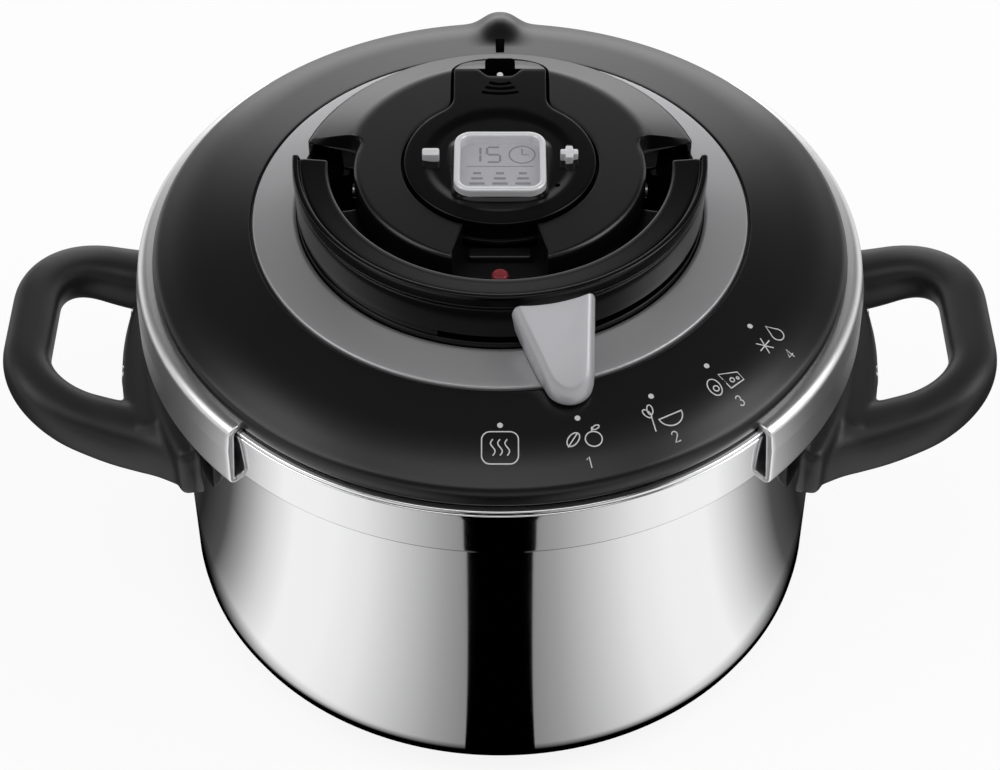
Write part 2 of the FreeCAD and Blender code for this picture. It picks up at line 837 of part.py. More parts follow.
def hub_housing():
    """The hub's wall, its flange with four pillars, and the floor of the channel under the bail."""
    body = new_part("hub_housing")
    radius = d.hub_radius
    turned(body, "XZ", box_outline(hub_inner, radius, ledge_level, hub_side_level))
    turned(body, "XZ", box_outline(hub_flange_radius, hub_inner, flange_level, flange_top))
    front_wall = box_outline(-radius, -hub_inner, flange_top, hub_front_level)
    turned(body, "YZ", front_wall, d.hub_front_span)
    turned(body, "YZ", box_outline(hub_inner, radius, flange_top, hub_rear_level), d.rear_span)
    channel = box_outline(-hub_inner, -(d.disc_radius + d.seat_gap), channel_floor, channel_floor_top)
    turned(body, "YZ", channel, d.channel_floor_span)
    pillar = ("circle", pillar_side, pillar_side, d.pillar_radius)
    pad = prism(body, "XY", [pillar], lid_top, flange_level)
    around(body, [pad], PILLARS)
    thread = ("circle", pillar_side, pillar_side, d.cover_screw_radius + d.seat_gap)
    hole = prism(body, "XY", [thread], lid_top, lid_top + d.cover_screw_length, cut=True)
    around(body, [hole], PILLARS)
    for side in (1, -1):
        ear_space(body, side)
    prism(body, "XY", [indicator_eye()], channel_floor, channel_floor_top, cut=True)
    slot = box_outline(-(radius + d.seat_gap), -(hub_inner - d.seat_gap),
                       flange_top, flange_top + d.slot_height)
    forwards = d.slot_start_angle + d.slot_sweep_angle
    cut_sector(body, "YZ", slot, forwards, -d.slot_start_angle)


def ear_space(body, side):
    """Room in the flange for an ear of the bail to turn in, from the channel's floor to the rear wall."""
    towards_rear = 90.0 - d.rear_span / 2
    towards_front = 90.0 - d.channel_floor_span / 2
    if side > 0:
        outline = box_outline(hub_flange_radius, hub_inner, ledge_level, hub_front_level)
        cut_sector(body, "XZ", outline, towards_rear, towards_front)
    else:
        outline = box_outline(-hub_inner, -hub_flange_radius, ledge_level, hub_front_level)
        cut_sector(body, "XZ", outline, towards_front, towards_rear)


def cut_sector(body, plane, outline, forwards, backwards):
    """Cut an outline round the pot's axis, through one angle each way from the sketch's plane."""
    sketch = new_sketch(body, plane)
    draw_outline(sketch, outline)
    feature = body.newObject("PartDesign::Groove", "sector")
    feature.Profile = sketch
    feature.ReferenceAxis = (sketch, ["V_Axis"])
    feature.Type = "TwoAngles"
    feature.Angle = as_size(forwards).number
    feature.Angle2 = as_size(backwards).number
    bind(feature, "Angle", forwards)
    bind(feature, "Angle2", backwards)
    body.Tip = feature


def indicator_eye():
    """The round hole that the pressure indicator's cap rises through."""
    return ("circle", 0.0, -indicator_place, d.indicator_cap_radius + d.indicator_eye_gap)


def hub_cap():
    """The hub's top: a disc with a skirt, a shoulder round the rear, the timer's well, the front pocket."""
    body = new_part("hub_cap")
    disc = [
        (0.0, disc_under),
        (disc_inner, disc_under),
        (disc_inner, disc_level - d.disc_skirt_height),
        (d.disc_radius, disc_level - d.disc_skirt_height),
        (d.disc_radius, disc_level, d.disc_edge_bend),
        (0.0, disc_level),
    ]
    turned(body, "XZ", disc)
    edge = d.hub_radius + d.shoulder_lap
    shoulder_start = d.disc_radius + d.shoulder_width
    shoulder = [
        (disc_inner, disc_under),
        (shoulder_start, disc_under),
        (hub_inner, hub_rear_level),
        (edge, hub_rear_level),
        (edge, hub_rear_level + d.shoulder_edge_height),
        (shoulder_start, disc_level, d.shoulder_bend),
        (disc_inner, disc_level),
    ]
    turned(body, "YZ", shoulder, d.rear_span)
    well = d.timer_radius + d.body_gap
    well_floor = timer_bottom - d.body_gap
    stem_floor = stem_bottom - d.body_gap
    half = d.stem_half + d.body_gap
    half_outer = half + d.well_wall
    rear = stem_end + d.body_gap
    front = stem_start - d.body_gap
    pocket_floor = disc_level - d.pocket_depth
    stem_block = box_outline(-half_outer, half_outer, front - d.well_wall, rear + d.well_wall)
    prism(body, "XY", [("circle", 0.0, 0.0, well + d.well_wall)], well_floor - d.well_wall, disc_level)
    prism(body, "XY", [stem_block], stem_floor - d.well_wall, disc_under)
    prism(body, "XY", [pocket_outline(d.well_wall, disc_inner)], pocket_floor - d.well_wall, disc_under)
    prism(body, "XY", [("circle", 0.0, 0.0, well)], well_floor, disc_level, cut=True)
    prism(body, "XY", [box_outline(-half, half, front, rear)], stem_floor, disc_level, cut=True)
    prism(body, "XY", [box_outline(-half, half, 0.0, rear)], well_floor, disc_level, cut=True)
    pocket = pocket_outline(0.0, d.disc_radius + d.seat_gap)
    prism(body, "XY", [pocket], pocket_floor, disc_level, cut=True)
    prism(body, "XY", [indicator_eye()], disc_level - d.disc_skirt_height, disc_level, cut=True)
    bore = ("circle", 0.0, pivot_level, d.shaft_radius + d.running_gap)
    prism(body, "YZ", [bore], -d.disc_radius, d.disc_radius, cut=True)


def pocket_outline(border, edge):
    """The front pocket, wider towards the front and as far as edge, grown by border on its sides."""
    rear = -(d.timer_radius - d.pocket_rear_inset)
    front = -(d.disc_radius - d.pocket_front_inset)
    wide = d.pocket_wide + border
    narrow = d.pocket_narrow + border
    return [(-wide, -edge), (wide, -edge), (wide, front), (narrow, rear), (-narrow, rear), (-wide, front)]


def mechanism_frame():
    """A bridge over the jaw arms with two uprights that carry the inner ends of the bail shafts."""
    body = new_part("mechanism_frame")
    half = d.frame_half_length
    inner = d.arm_width / 2 + d.body_gap
    outer = inner + d.frame_foot
    deck = arm_top + d.body_gap
    deck_top = deck + d.frame_thickness
    prism(body, "XY", [box_outline(-half, half, -outer, outer)], deck, deck_top)
    feet = [box_outline(-half, half, -outer, -inner), box_outline(-half, half, inner, outer)]
    prism(body, "XY", feet, lid_top, deck)
    side = d.frame_upright_width / 2
    upright = box_outline(-side, side, deck_top, pivot_level + d.frame_head)
    pad = prism(body, "YZ", [upright], half - d.frame_upright, half)
    mirrored(body, [pad], "YZ")
    bore = ("circle", 0.0, pivot_level, d.shaft_radius + d.running_gap)
    prism(body, "YZ", [bore], -half, half, cut=True)


def cover_screws():
    """Four screws from under the lid plate into the housing's pillars, as one group."""
    body = new_part("cover_screws")
    shank = ("circle", pillar_side, pillar_side, d.cover_screw_radius)
    head = ("circle", pillar_side, pillar_side, d.cover_screw_head)
    top = lid_top + d.cover_screw_length - d.seat_gap
    pads = [prism(body, "XY", [head], lid_bottom - d.cover_screw_head_height, lid_bottom)]
    pads.append(prism(body, "XY", [shank], lid_bottom, top))
    around(body, pads, PILLARS)


def steam_duct():
    """The pipe from the operating valve to the outlet at the rear."""
    body = new_part("steam_duct")
    start = d.operating_y + d.bonnet_radius + d.seat_gap
    end = outlet_front - d.seat_gap
    prism(body, "XZ", [("circle", 0.0, duct_level, d.duct_radius)], start, end)
    bore = ("circle", 0.0, duct_level, d.duct_radius - d.duct_wall)
    prism(body, "XZ", [bore], start, end, cut=True)


def steam_outlet():
    """The nozzle box under the cover's slot."""
    body = new_part("steam_outlet")
    rear = slot_rear + d.duct_wall
    top = duct_level + outlet_half
    prism(body, "XY", [box_outline(-outlet_half, outlet_half, outlet_front, rear)], lid_top, top)
    half_slot = d.steam_slot_width / 2
    room = box_outline(-half_slot, half_slot, slot_front, slot_rear)
    prism(body, "XY", [room], lid_top + d.duct_wall, top, cut=True)
    way = ("circle", 0.0, duct_level, d.duct_radius - d.duct_wall)
    prism(body, "XZ", [way], outlet_front, slot_front + d.duct_wall, cut=True)


# ---------------------------------------------------------------- valves

def hexagon(x, y, corner_radius):
    """A six-sided nut outline."""
    corners = []
    for step in range(6):
        angle = math.radians(60 * step)
        corners.append((x + corner_radius * math.cos(angle), y + corner_radius * math.sin(angle)))
    return corners


def valve(name, x, y, vents_to_duct):
    """One spring valve on the lid plate: seat, nut, plunger, bonnet and spring."""
    flange = lid_top + d.valve_flange_height
    nose = flange + d.valve_nose_height
    nut_low = lid_bottom - d.valve_nut_height
    tail = nut_low - d.valve_tail
    seat = new_part(name + "_seat")
    prism(seat, "XY", [("circle", x, y, d.valve_thread)], tail, lid_top)
    prism(seat, "XY", [("circle", x, y, d.valve_flange)], lid_top, flange)
    prism(seat, "XY", [("circle", x, y, d.valve_bore + d.valve_nose_wall)], flange, nose)
    prism(seat, "XY", [("circle", x, y, d.valve_bore)], tail, nose, cut=True)
    nut = new_part(name + "_nut")
    prism(nut, "XY", [hexagon(x, y, d.valve_flange)], nut_low, lid_bottom)
    prism(nut, "XY", [("circle", x, y, d.valve_thread + d.seat_gap)], nut_low, lid_bottom, cut=True)
    plunger = new_part(name + "_plunger")
    disc_low = nose + d.seat_gap
    disc_top = disc_low + d.plunger_disc_height
    prism(plunger, "XY", [("circle", x, y, d.plunger_disc)], disc_low, disc_top)
    stem = ("circle", x, y, d.plunger_stem)
    prism(plunger, "XY", [stem], disc_top, disc_top + d.plunger_stem_height)
    bonnet = new_part(name + "_bonnet")
    bonnet_top = flange_level - d.bonnet_gap
    roof = bonnet_top - d.bonnet_wall
    prism(bonnet, "XY", [("circle", x, y, d.bonnet_radius)], flange, bonnet_top)
    prism(bonnet, "XY", [("circle", x, y, d.bonnet_radius - d.bonnet_wall)], flange, roof, cut=True)
    prism(bonnet, "XY", [("circle", x, y, d.plunger_stem + d.body_gap)], roof, bonnet_top, cut=True)
    if vents_to_duct:
        way = ("circle", x, duct_level, d.duct_radius - d.duct_wall)
        prism(bonnet, "XZ", [way], y + d.bonnet_radius / 2, y + d.bonnet_radius, cut=True)
    valve_spring(name + "_spring", x, y, disc_top + d.spring_wire, roof - d.spring_wire - d.seat_gap)


def valve_spring(label, x, y, low, high):
    """A coil of round wire between the plunger's disc and the bonnet's roof."""
    body = new_part(label)
    sketch = new_sketch(body, "XZ", -y)
    draw_circle(sketch, x + d.spring_radius, low, d.spring_wire)
    upright = Part.LineSegment(FreeCAD.Vector(x.number, 0, 0), FreeCAD.Vector(x.number, 1, 0))
    axis = sketch.addGeometry(upright, True)
    hold(sketch, axis, 1, x, 0.0)
    hold(sketch, axis, 2, x, 1.0)
    coil = body.newObject("PartDesign::AdditiveHelix", "coil")
    coil.Profile = sketch
    coil.ReferenceAxis = (sketch, ["Axis0"])
    coil.Mode = "height-turns-angle"
    bind(coil, "Height", high - low)
    bind(coil, "Turns", d.spring_turns)
    body.Tip = coil


def indicator():
    """The pressure indicator: a pin through a bush in the lid plate, with a red cap on top."""
    place = -indicator_place
    bush = new_part("indicator_bush")
    bush_low = lid_bottom - d.bush_height
    bush_top = lid_top + d.bush_height
    prism(bush, "XY", [("circle", 0.0, place, d.bush_radius)], lid_top, bush_top)
    prism(bush, "XY", [("circle", 0.0, place, d.bush_neck)], lid_bottom, lid_top)
    prism(bush, "XY", [("circle", 0.0, place, d.bush_radius)], bush_low, lid_bottom)
    bore = ("circle", 0.0, place, d.indicator_radius + d.running_gap)
    prism(bush, "XY", [bore], bush_low, bush_top, cut=True)
    pin = new_part("indicator_pin")
    cap_low = indicator_top - d.indicator_cap_height
    pin_low = lid_bottom - d.indicator_drop
    prism(pin, "XY", [("circle", 0.0, place, d.indicator_radius)], pin_low, cap_low)
    cap = new_part("indicator_cap")
    outline = [
        (0.0, cap_low),
        (d.indicator_cap_radius, cap_low),
        (d.indicator_cap_radius, indicator_top, d.indicator_cap_bend),
        (0.0, indicator_top),
    ]
    sketch = new_sketch(cap, "XZ", indicator_place)
    draw_outline(sketch, outline)
    feature = cap.newObject("PartDesign::Revolution", "turned")
    feature.Profile = sketch
    feature.ReferenceAxis = (sketch, ["V_Axis"])
    feature.Angle = 360.0
    cap.Tip = feature


# ---------------------------------------------------------------- jaws and bail

def jaw(label, turn):
    """A C-section of sheet steel that hooks under the rim band, with an arm to the middle."""
    body = new_part(label, turn)
    wall = d.jaw_sheet
    high = d.shelf_level - d.jaw_bottom_gap
    low = high - wall
    lip = d.pot_radius + d.jaw_wall_gap
    outline = [
        (lip, low),
        (jaw_bottom_radius, low, d.jaw_bottom_bend),
        (jaw_top_radius, arm_top, d.jaw_top_bend),
        (jaw_flange_radius, arm_top),
        (jaw_flange_radius, arm_bottom),
        (jaw_top_radius - wall, arm_bottom, d.jaw_top_bend - wall),
        (jaw_bottom_radius - wall, high, d.jaw_bottom_bend - wall),
        (lip, high),
    ]
    turned(body, "XZ", outline, d.jaw_span)
    half = d.arm_width / 2
    arm = box_outline(follower_place - d.arm_overrun, jaw_flange_radius + wall, -half, half)
    prism(body, "XY", [arm], arm_bottom, arm_top)
    hole = ("circle", follower_place, 0.0, d.follower_tip + d.seat_gap)
    prism(body, "XY", [hole], arm_bottom, arm_top, cut=True)


def jaw_follower(label, turn):
    """A post riveted to the arm; its tip rides in the cam drum's groove."""
    body = new_part(label, turn)
    post_top = drum_bottom - d.body_gap
    tip_top = drum_bottom + d.groove_depth - d.body_gap
    tip = ("circle", follower_place, 0.0, d.follower_tip)
    prism(body, "XY", [tip], arm_bottom, arm_top)
    prism(body, "XY", [("circle", follower_place, 0.0, d.follower_radius)], arm_top, post_top)
    prism(body, "XY", [tip], post_top, tip_top)


def bail_handle():
    """A half ring that lies on the hub's front wall, with an ear at each end for its shaft."""
    body = new_part("bail_handle")
    inner = -bail_inner_radius
    outer = -bail_outer_radius
    groove = outer + d.bail_groove_inset
    inner_top = bail_bottom + d.bail_inner_height
    top = bail_bottom + d.bail_outer_height
    outline = [
        (inner, bail_bottom),
        (inner, inner_top, d.bail_bend),
        (groove + d.bail_bead_width, top - d.bail_dish_depth),
        (groove, top - d.bail_groove_depth),
        (groove - d.bail_bead_width, top),
        (outer, top, d.bail_bend),
        (outer, bail_bottom, d.bail_bend),
    ]
    turned(body, "YZ", outline, 180.0)
    ear_top = inner_top - d.bail_bend
    ear = [(-d.ear_radius, pivot_level), (d.ear_radius, pivot_level), (0.0, ear_top), (-d.ear_front, ear_top)]
    end = ("circle", 0.0, pivot_level, d.ear_radius)
    pads = [prism(body, "YZ", [ear], ear_inner, ear_outer)]
    pads.append(prism(body, "YZ", [end], ear_inner, ear_outer))
    mirrored(body, pads, "YZ")
    bore = ("circle", 0.0, pivot_level, d.shaft_radius)
    prism(body, "YZ", [bore], -ear_outer, ear_outer, cut=True)


def bail_shafts():
    """A shaft with a cam drum: the helical groove moves the follower by the jaws' travel.

    The groove is cut wider along the shaft than across it, by the slope of its helix at its floor,
    so that the follower's round tip passes with its clearance.
    """
    body = new_part("right_bail_shaft")
    shaft = d.shaft_radius
    drum = d.drum_radius
    stub = d.frame_half_length - d.frame_upright
    drum_inner = d.frame_half_length + d.drum_end_gap
    drum_outer = disc_inner - d.drum_wall_gap
    outline = [
        (stub, 0.0),
        (ear_outer, 0.0),
        (ear_outer, shaft),
        (drum_outer, shaft),
        (drum_outer, drum),
        (drum_inner, drum),
        (drum_inner, shaft),
        (stub, shaft),
    ]
    turned(body, "XZ", outline, axis="H_Axis", rise=pivot_level)
    pitch = d.jaw_travel * 360.0 / d.bail_angle
    overrun = pitch * d.groove_overrun / 360.0
    groove_floor = drum - d.groove_depth
    groove_end = drum + d.groove_depth
    slope = pitch / (groove_floor * math.tau)
    half = (d.follower_tip + d.body_gap) * (slope * slope + 1.0).root()
    start = follower_place - overrun
    sketch = new_sketch(body, "XZ", 0.0, pivot_level, d.groove_overrun)
    draw_outline(sketch, box_outline(start - half, start + half, -groove_end, -groove_floor))
    groove = body.newObject("PartDesign::SubtractiveHelix", "groove")
    groove.Profile = sketch
    groove.ReferenceAxis = (sketch, ["H_Axis"])
    groove.Mode = "pitch-height-angle"
    bind(groove, "Pitch", pitch)
    bind(groove, "Height", d.jaw_travel + 2 * overrun)
    body.Tip = groove
    other = doc.addObject("Part::Mirroring", "left_bail_shaft")
    other.Label = "left_bail_shaft"
    other.Source = body
    other.Base = FreeCAD.Vector(0, 0, 0)
    other.Normal = FreeCAD.Vector(1, 0, 0)
    parts.append(other)


# ---------------------------------------------------------------- selector

def selector_lever():
    """A wedge that points at the programme marks, with a tongue through the housing's slot."""
    body = new_part("selector_lever", d.selector_angle)
    root = d.hub_radius + d.body_gap
    tip = cover_inner_radius + d.lever_overreach
    tip_radius = d.lever_tip_radius
    tip_bend = tip_radius - d.lever_tip_flat / 2
    root_half = d.lever_root_half
    outline = [
        (-root_half, -hub_inner),
        (-tip_radius, -(tip - tip_radius)),
        (-tip_radius, -tip, tip_bend),
        (tip_radius, -tip, tip_bend),
        (tip_radius, -(tip - tip_radius)),
        (root_half, -hub_inner),
    ]
    low = ledge_level
    top = hub_front_level
    over = top + tip_radius
    beyond = tip + tip_radius
    tip_low = ledge_level + d.lever_tip_rise
    prism(body, "XY", [outline], low, top)
    slope = [
        (-root, top),
        (-root, over),
        (-beyond, over),
        (-beyond, tip_low),
        (-tip, tip_low),
        (-(tip - d.lever_knee_inset), ledge_level + d.lever_knee_rise, d.lever_knee_bend),
    ]
    prism(body, "YZ", [slope], -root_half * 2, root_half * 2, cut=True)
    ring_inner = ledge_level + d.ring_inner_height + d.lever_ring_gap
    ring_outer = ledge_level + d.ring_outer_height + d.lever_ring_gap
    under = ledge_level - d.lever_ring_gap
    underside = [
        (-hub_inner, under),
        (-hub_inner, ring_inner),
        (-root, ring_inner),
        (-cover_inner_radius, ring_outer),
        (-(tip + d.seat_gap), tip_low - d.lever_tip_rise / 2),
        (-(tip + d.seat_gap), under),
    ]
    prism(body, "YZ", [underside], -root_half * 2, root_half * 2, cut=True)
    turned(body, "YZ", box_outline(-root, 0.0, under, over), 180.0, cut=True)
    half = d.tongue_half
    tongue = box_outline(-half, half, -(root + d.tongue_lap), -(slider_outer - d.tongue_lap))
    prism(body, "XY", [tongue], tongue_level, tongue_level + d.tongue_thickness)


def selector_slider():
    """A sector inside the hub that the lever's tongue turns."""
    body = new_part("selector_slider", d.selector_angle)
    top = tongue_level + d.tongue_thickness
    turned(body, "YZ", box_outline(-slider_outer, -slider_inner, tongue_level, top), d.slider_span)
    half = d.tongue_half + d.seat_gap
    notch_end = slider_outer - d.tongue_lap - d.seat_gap
    notch = box_outline(-half, half, -d.hub_radius, -notch_end)
    prism(body, "XY", [notch], tongue_level, top, cut=True)


# ---------------------------------------------------------------- timer

def timer_case():
    """The timer's upper shell: a shallow round front and a deep stem that holds the cell."""
    body = new_part("timer_case")
    half = d.stem_half
    inner_half = half - d.timer_wall
    riser_end = stem_start + d.timer_wall
    inner_end = stem_end - d.timer_wall
    inner_radius = d.timer_radius - d.timer_wall
    prism(body, "XY", [("circle", 0.0, 0.0, d.timer_radius)], timer_seam, timer_top)
    prism(body, "XY", [box_outline(-half, half, 0.0, stem_end)], timer_seam, timer_top)
    prism(body, "XY", [box_outline(-half, half, riser_end, stem_end)], stem_seam, timer_seam)
    prism(body, "XY", [("circle", 0.0, 0.0, inner_radius)], timer_seam, timer_roof, cut=True)
    link = box_outline(-inner_half, inner_half, 0.0, inner_end)
    prism(body, "XY", [link], timer_seam, timer_roof, cut=True)
    cell_room = box_outline(-inner_half, inner_half, riser_end, inner_end)
    prism(body, "XY", [cell_room], stem_seam, timer_seam, cut=True)
    openings = [
        bezel_outline(d.bezel_border + d.seat_gap),
        button_outline(-d.button_place, "minus", d.seat_gap),
        button_outline(d.button_place, "plus", d.seat_gap),
        ("circle", d.sound_hole_x, d.sound_hole_y, d.sound_hole_radius),
    ]
    prism(body, "XY", openings, timer_roof, timer_top, cut=True)


def timer_base():
    """The timer's lower shell, stepped down under the stem, with the hole for the cell's door."""
    body = new_part("timer_base")
    half = d.stem_half
    riser_end = stem_start + d.timer_wall
    prism(body, "XY", [("circle", 0.0, 0.0, d.timer_radius)], timer_bottom, timer_seam)
    prism(body, "XY", [box_outline(-half, half, stem_start, riser_end)], stem_bottom, timer_seam)
    prism(body, "XY", [box_outline(-half, half, stem_start, stem_end)], stem_bottom, stem_seam)
    door = ("circle", 0.0, battery_place, d.door_radius + d.seat_gap)
    prism(body, "XY", [door], stem_bottom, stem_seam, cut=True)
    above_cell = box_outline(-half, half, riser_end, d.timer_radius)
    prism(body, "XY", [above_cell], timer_bottom, timer_seam, cut=True)


def bezel_outline(border):
    """The display window's outline, grown by border."""
    half = d.window_half + border
    return box_outline(-half, half, d.window_front - border, d.window_rear + border,
                       d.window_corner + border)


def button_outline(x, kind, border):
    """A bar for minus or a cross for plus, centred on its place, grown by border."""
    row = d.button_row
    if kind == "minus":
        length = d.minus_half_length + border
        width = d.minus_half_width + border
        return box_outline(x - length, x + length, row - width, row + width)
    length = d.plus_half_length + border
    width = d.plus_half_width + border
    return [
        (x - length, row - width),
        (x - width, row - width),
        (x - width, row - length),
        (x + width, row - length),
        (x + width, row - width),
        (x + length, row - width),
        (x + length, row + width),
        (x + width, row + width),
        (x + width, row + length),
        (x - width, row + length),
        (x - width, row + width),
        (x - length, row + width),
    ]


def timer_display():
    """The raised frame round the display, its window and the display panel under it."""
    bezel = new_part("display_bezel")
    prism(bezel, "XY", [bezel_outline(d.bezel_border)], timer_roof, bezel_top)
    prism(bezel, "XY", [bezel_outline(0.0)], timer_roof, bezel_top, cut=True)
    window = new_part("display_window")
    window_top = bezel_top - d.window_drop
    prism(window, "XY", [bezel_outline(-d.seat_gap)], window_top - d.window_thickness, window_top)
    panel = new_part("display_panel")
    border = d.panel_border
    outline = box_outline(-(d.window_half + border), d.window_half + border,
                          d.window_front - border, d.window_rear + border)
    low = timer_bottom + d.panel_rise
    prism(panel, "XY", [outline], low, low + d.panel_thickness)


def timer_inside():
    """The board with its two switch domes, the buzzer, the cell and its contact."""
    board = new_part("timer_board")
    board_radius = d.timer_radius - d.timer_wall - d.board_inset
    prism(board, "XY", [("circle", 0.0, 0.0, board_radius)], board_level, board_top)
    domes = new_part("switch_domes")
    pair = []
    for x in (-d.button_place, d.button_place):
        pair.append(("circle", x, d.button_row, d.dome_radius))
    prism(domes, "XY", pair, board_top, board_top + d.dome_height)
    buzzer = new_part("buzzer")
    sounder = ("circle", 0.0, d.buzzer_place, d.buzzer_radius)
    prism(buzzer, "XY", [sounder], board_top, board_top + d.buzzer_height)
    battery = new_part("battery")
    cell_low = stem_seam + d.body_gap
    cell_top = cell_low + d.battery_height
    prism(battery, "XY", [("circle", 0.0, battery_place, d.battery_radius)], cell_low, cell_top)
    contact = new_part("battery_contacts")
    half = d.contact_width / 2
    start = stem_start + d.timer_wall
    strip = box_outline(-half, half, start, start + d.contact_length)
    prism(contact, "XY", [strip], cell_top, cell_top + d.contact_thickness)
    leg = box_outline(-half, half, start, start + d.contact_thickness)
    prism(contact, "XY", [leg], cell_top + d.contact_thickness, board_top)
    tail = box_outline(-half, half, board_radius, start)
    prism(contact, "XY", [tail], timer_seam, board_top)


def battery_door():
    """The round door under the cell, with a slot for a coin."""
    body = new_part("battery_door")
    prism(body, "XY", [("circle", 0.0, battery_place, d.door_radius)], stem_bottom, stem_seam)
    half_length = d.door_slot_length / 2
    half_width = d.door_slot_width / 2
    slot = box_outline(-half_length, half_length, battery_place - half_width, battery_place + half_width)
    prism(body, "XY", [slot], stem_bottom, stem_bottom + d.door_slot_depth, cut=True)


def timer_button(label, x, kind):
    """A key with a wider foot under the case, above its switch dome."""
    body = new_part(label)
    foot_top = timer_roof - d.seat_gap
    foot_low = foot_top - d.button_foot_thickness
    stub_low = board_top + d.dome_height + d.button_travel + d.seat_gap
    prism(body, "XY", [button_outline(x, kind, 0.0)], foot_top, timer_top + d.button_proud)
    prism(body, "XY", [button_outline(x, kind, d.button_foot_border)], foot_low, foot_top)
    prism(body, "XY", [("circle", x, d.button_row, d.button_stub_radius)], stub_low, foot_low)


def build():
    """Make every piece of the cooker."""
    pot_shell()
    base_disc()
    for side, turn in (("right", 0.0), ("left", 180.0)):
        handle_bracket(side + "_handle_bracket", turn)
        pot_handle(side + "_pot_handle", turn)
        jaw(side + "_jaw", turn)
        jaw_follower(side + "_jaw_follower", turn)
    handle_screws()
    lid_plate()
    lid_seal()
    lid_cover()
    programme_ring()
    hub_housing()
    hub_cap()
    mechanism_frame()
    cover_screws()
    steam_duct()
    steam_outlet()
    valve("operating_valve", d.operating_x, d.operating_y, True)
    valve("safety_valve", d.safety_x, d.safety_y, False)
    indicator()
    bail_handle()
    bail_shafts()
    selector_lever()
    selector_slider()
    timer_case()
    timer_base()
    timer_display()
    timer_inside()
    battery_door()
    timer_button("minus_button", -d.button_place, "minus")
    timer_button("plus_button", d.button_place, "plus")


def check_objects():
    """Stop if any object failed, any piece is empty or invalid, or any cut removed nothing."""
    faults = []
    cuts = ("PartDesign::Pocket", "PartDesign::Groove", "PartDesign::SubtractiveHelix")
    for item in doc.Objects:
        if {"Invalid", "Error"} & set(item.State):
            faults.append("%s: %s" % (item.Name, item.State))
        if item.TypeId in cuts and item.Shape.Volume > item.BaseFeature.Shape.Volume - 0.01:
            owner = item.getParentGeoFeatureGroup()
            faults.append("%s of %s cuts nothing" % (item.Name, owner.Label))
    for part in parts:
        shape = part.Shape
        if shape.isNull() or not shape.isValid() or not shape.Solids:
            faults.append("%s has no valid solid" % part.Label)
    if faults:
        raise RuntimeError("\n".join(faults))


def write_parts():
    """Write each piece to its own STEP file."""
    os.makedirs("parts", exist_ok=True)
    for part in parts:
        part.Shape.exportStep("parts/%s.step" % part.Label)
        box = part.Shape.BoundBox
        print("%-24s %d solid  %9.1f mm3  z %.1f to %.1f"
              % (part.Label, len(part.Shape.Solids), part.Shape.Volume, box.ZMin, box.ZMax))


build()
doc.recompute()
check_objects()
write_parts()
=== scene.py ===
# %% [markdown]
# # A stove-top pressure cooker
#
# The cooker is a deep polished pot, a black lid held by two sliding jaws, a hub with a folding bail,
# and a small timer that lifts off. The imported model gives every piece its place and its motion. This
# notebook dresses it: visible pieces are built again as smooth numpy surfaces, hidden ones keep their
# shape and only get a finish.
#
# Lengths are in millimetres until a mesh is made, because the drawings are in millimetres too. An
# azimuth is an angle round the pot's axis, in degrees, from 0 at the front through 90 at the right.

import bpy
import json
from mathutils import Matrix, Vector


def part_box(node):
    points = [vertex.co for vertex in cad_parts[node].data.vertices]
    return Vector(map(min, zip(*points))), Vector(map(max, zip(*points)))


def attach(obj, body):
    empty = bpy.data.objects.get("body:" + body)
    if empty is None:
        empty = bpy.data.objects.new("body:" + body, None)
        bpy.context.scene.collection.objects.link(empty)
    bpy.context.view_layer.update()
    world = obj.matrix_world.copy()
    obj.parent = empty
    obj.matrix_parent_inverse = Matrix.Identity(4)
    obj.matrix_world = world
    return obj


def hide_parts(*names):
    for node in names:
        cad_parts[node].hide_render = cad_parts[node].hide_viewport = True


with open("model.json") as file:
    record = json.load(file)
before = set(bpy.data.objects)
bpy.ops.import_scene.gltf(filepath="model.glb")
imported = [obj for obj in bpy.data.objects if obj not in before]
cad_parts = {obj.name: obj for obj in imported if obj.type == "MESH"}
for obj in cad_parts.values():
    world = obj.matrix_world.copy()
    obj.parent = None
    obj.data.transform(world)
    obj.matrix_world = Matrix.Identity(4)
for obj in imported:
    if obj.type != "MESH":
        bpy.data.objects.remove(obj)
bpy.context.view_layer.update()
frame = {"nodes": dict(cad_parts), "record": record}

import json

import bpy
import numpy as np
from mathutils import Vector

MM = 0.001

# %% [markdown]
# ## Where things are
#
# The drawings and these surfaces have to agree, so the main radii and levels are read back from the
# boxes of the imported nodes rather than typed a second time.

# %% Read the main sizes
def low(node, axis):
    """The node's lowest coordinate on axis 0, 1 or 2, in millimetres."""
    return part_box(node)[0][axis] / MM


def high(node, axis):
    """The node's highest coordinate on axis 0, 1 or 2, in millimetres."""
    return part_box(node)[1][axis] / MM


RIM_RADIUS = high("pot_shell", 0)
RIM_TOP = high("pot_shell", 2)
POT_FLOOR = low("pot_shell", 2)
LID_TOP = high("lid_plate", 2)
COVER_RADIUS = high("lid_cover", 0)
COVER_LOW = low("lid_cover", 2)
COVER_CROWN = high("lid_cover", 2)
RING_LOW = low("programme_ring", 2)
RING_RADIUS = high("programme_ring", 0)
RING_TOP = high("programme_ring", 2)
HUB_RADIUS = high("hub_housing", 0)
HUB_TOP = high("hub_housing", 2)
DISC_TOP = high("hub_cap", 2)
BAIL_LOW = DISC_TOP - 1.6
BAIL_TOP = high("bail_handle", 2)
TIMER_RADIUS = high("timer_case", 0)
TIMER_TOP = high("timer_case", 2)
TIMER_SEAM = high("timer_base", 2)
STEM_END = high("timer_case", 1) + 2.4
BEZEL_TOP = high("display_bezel", 2)
print("rim %.1f  cover %.1f  hub %.1f  timer %.1f" % (RIM_RADIUS, COVER_RADIUS, HUB_RADIUS, TIMER_RADIUS))

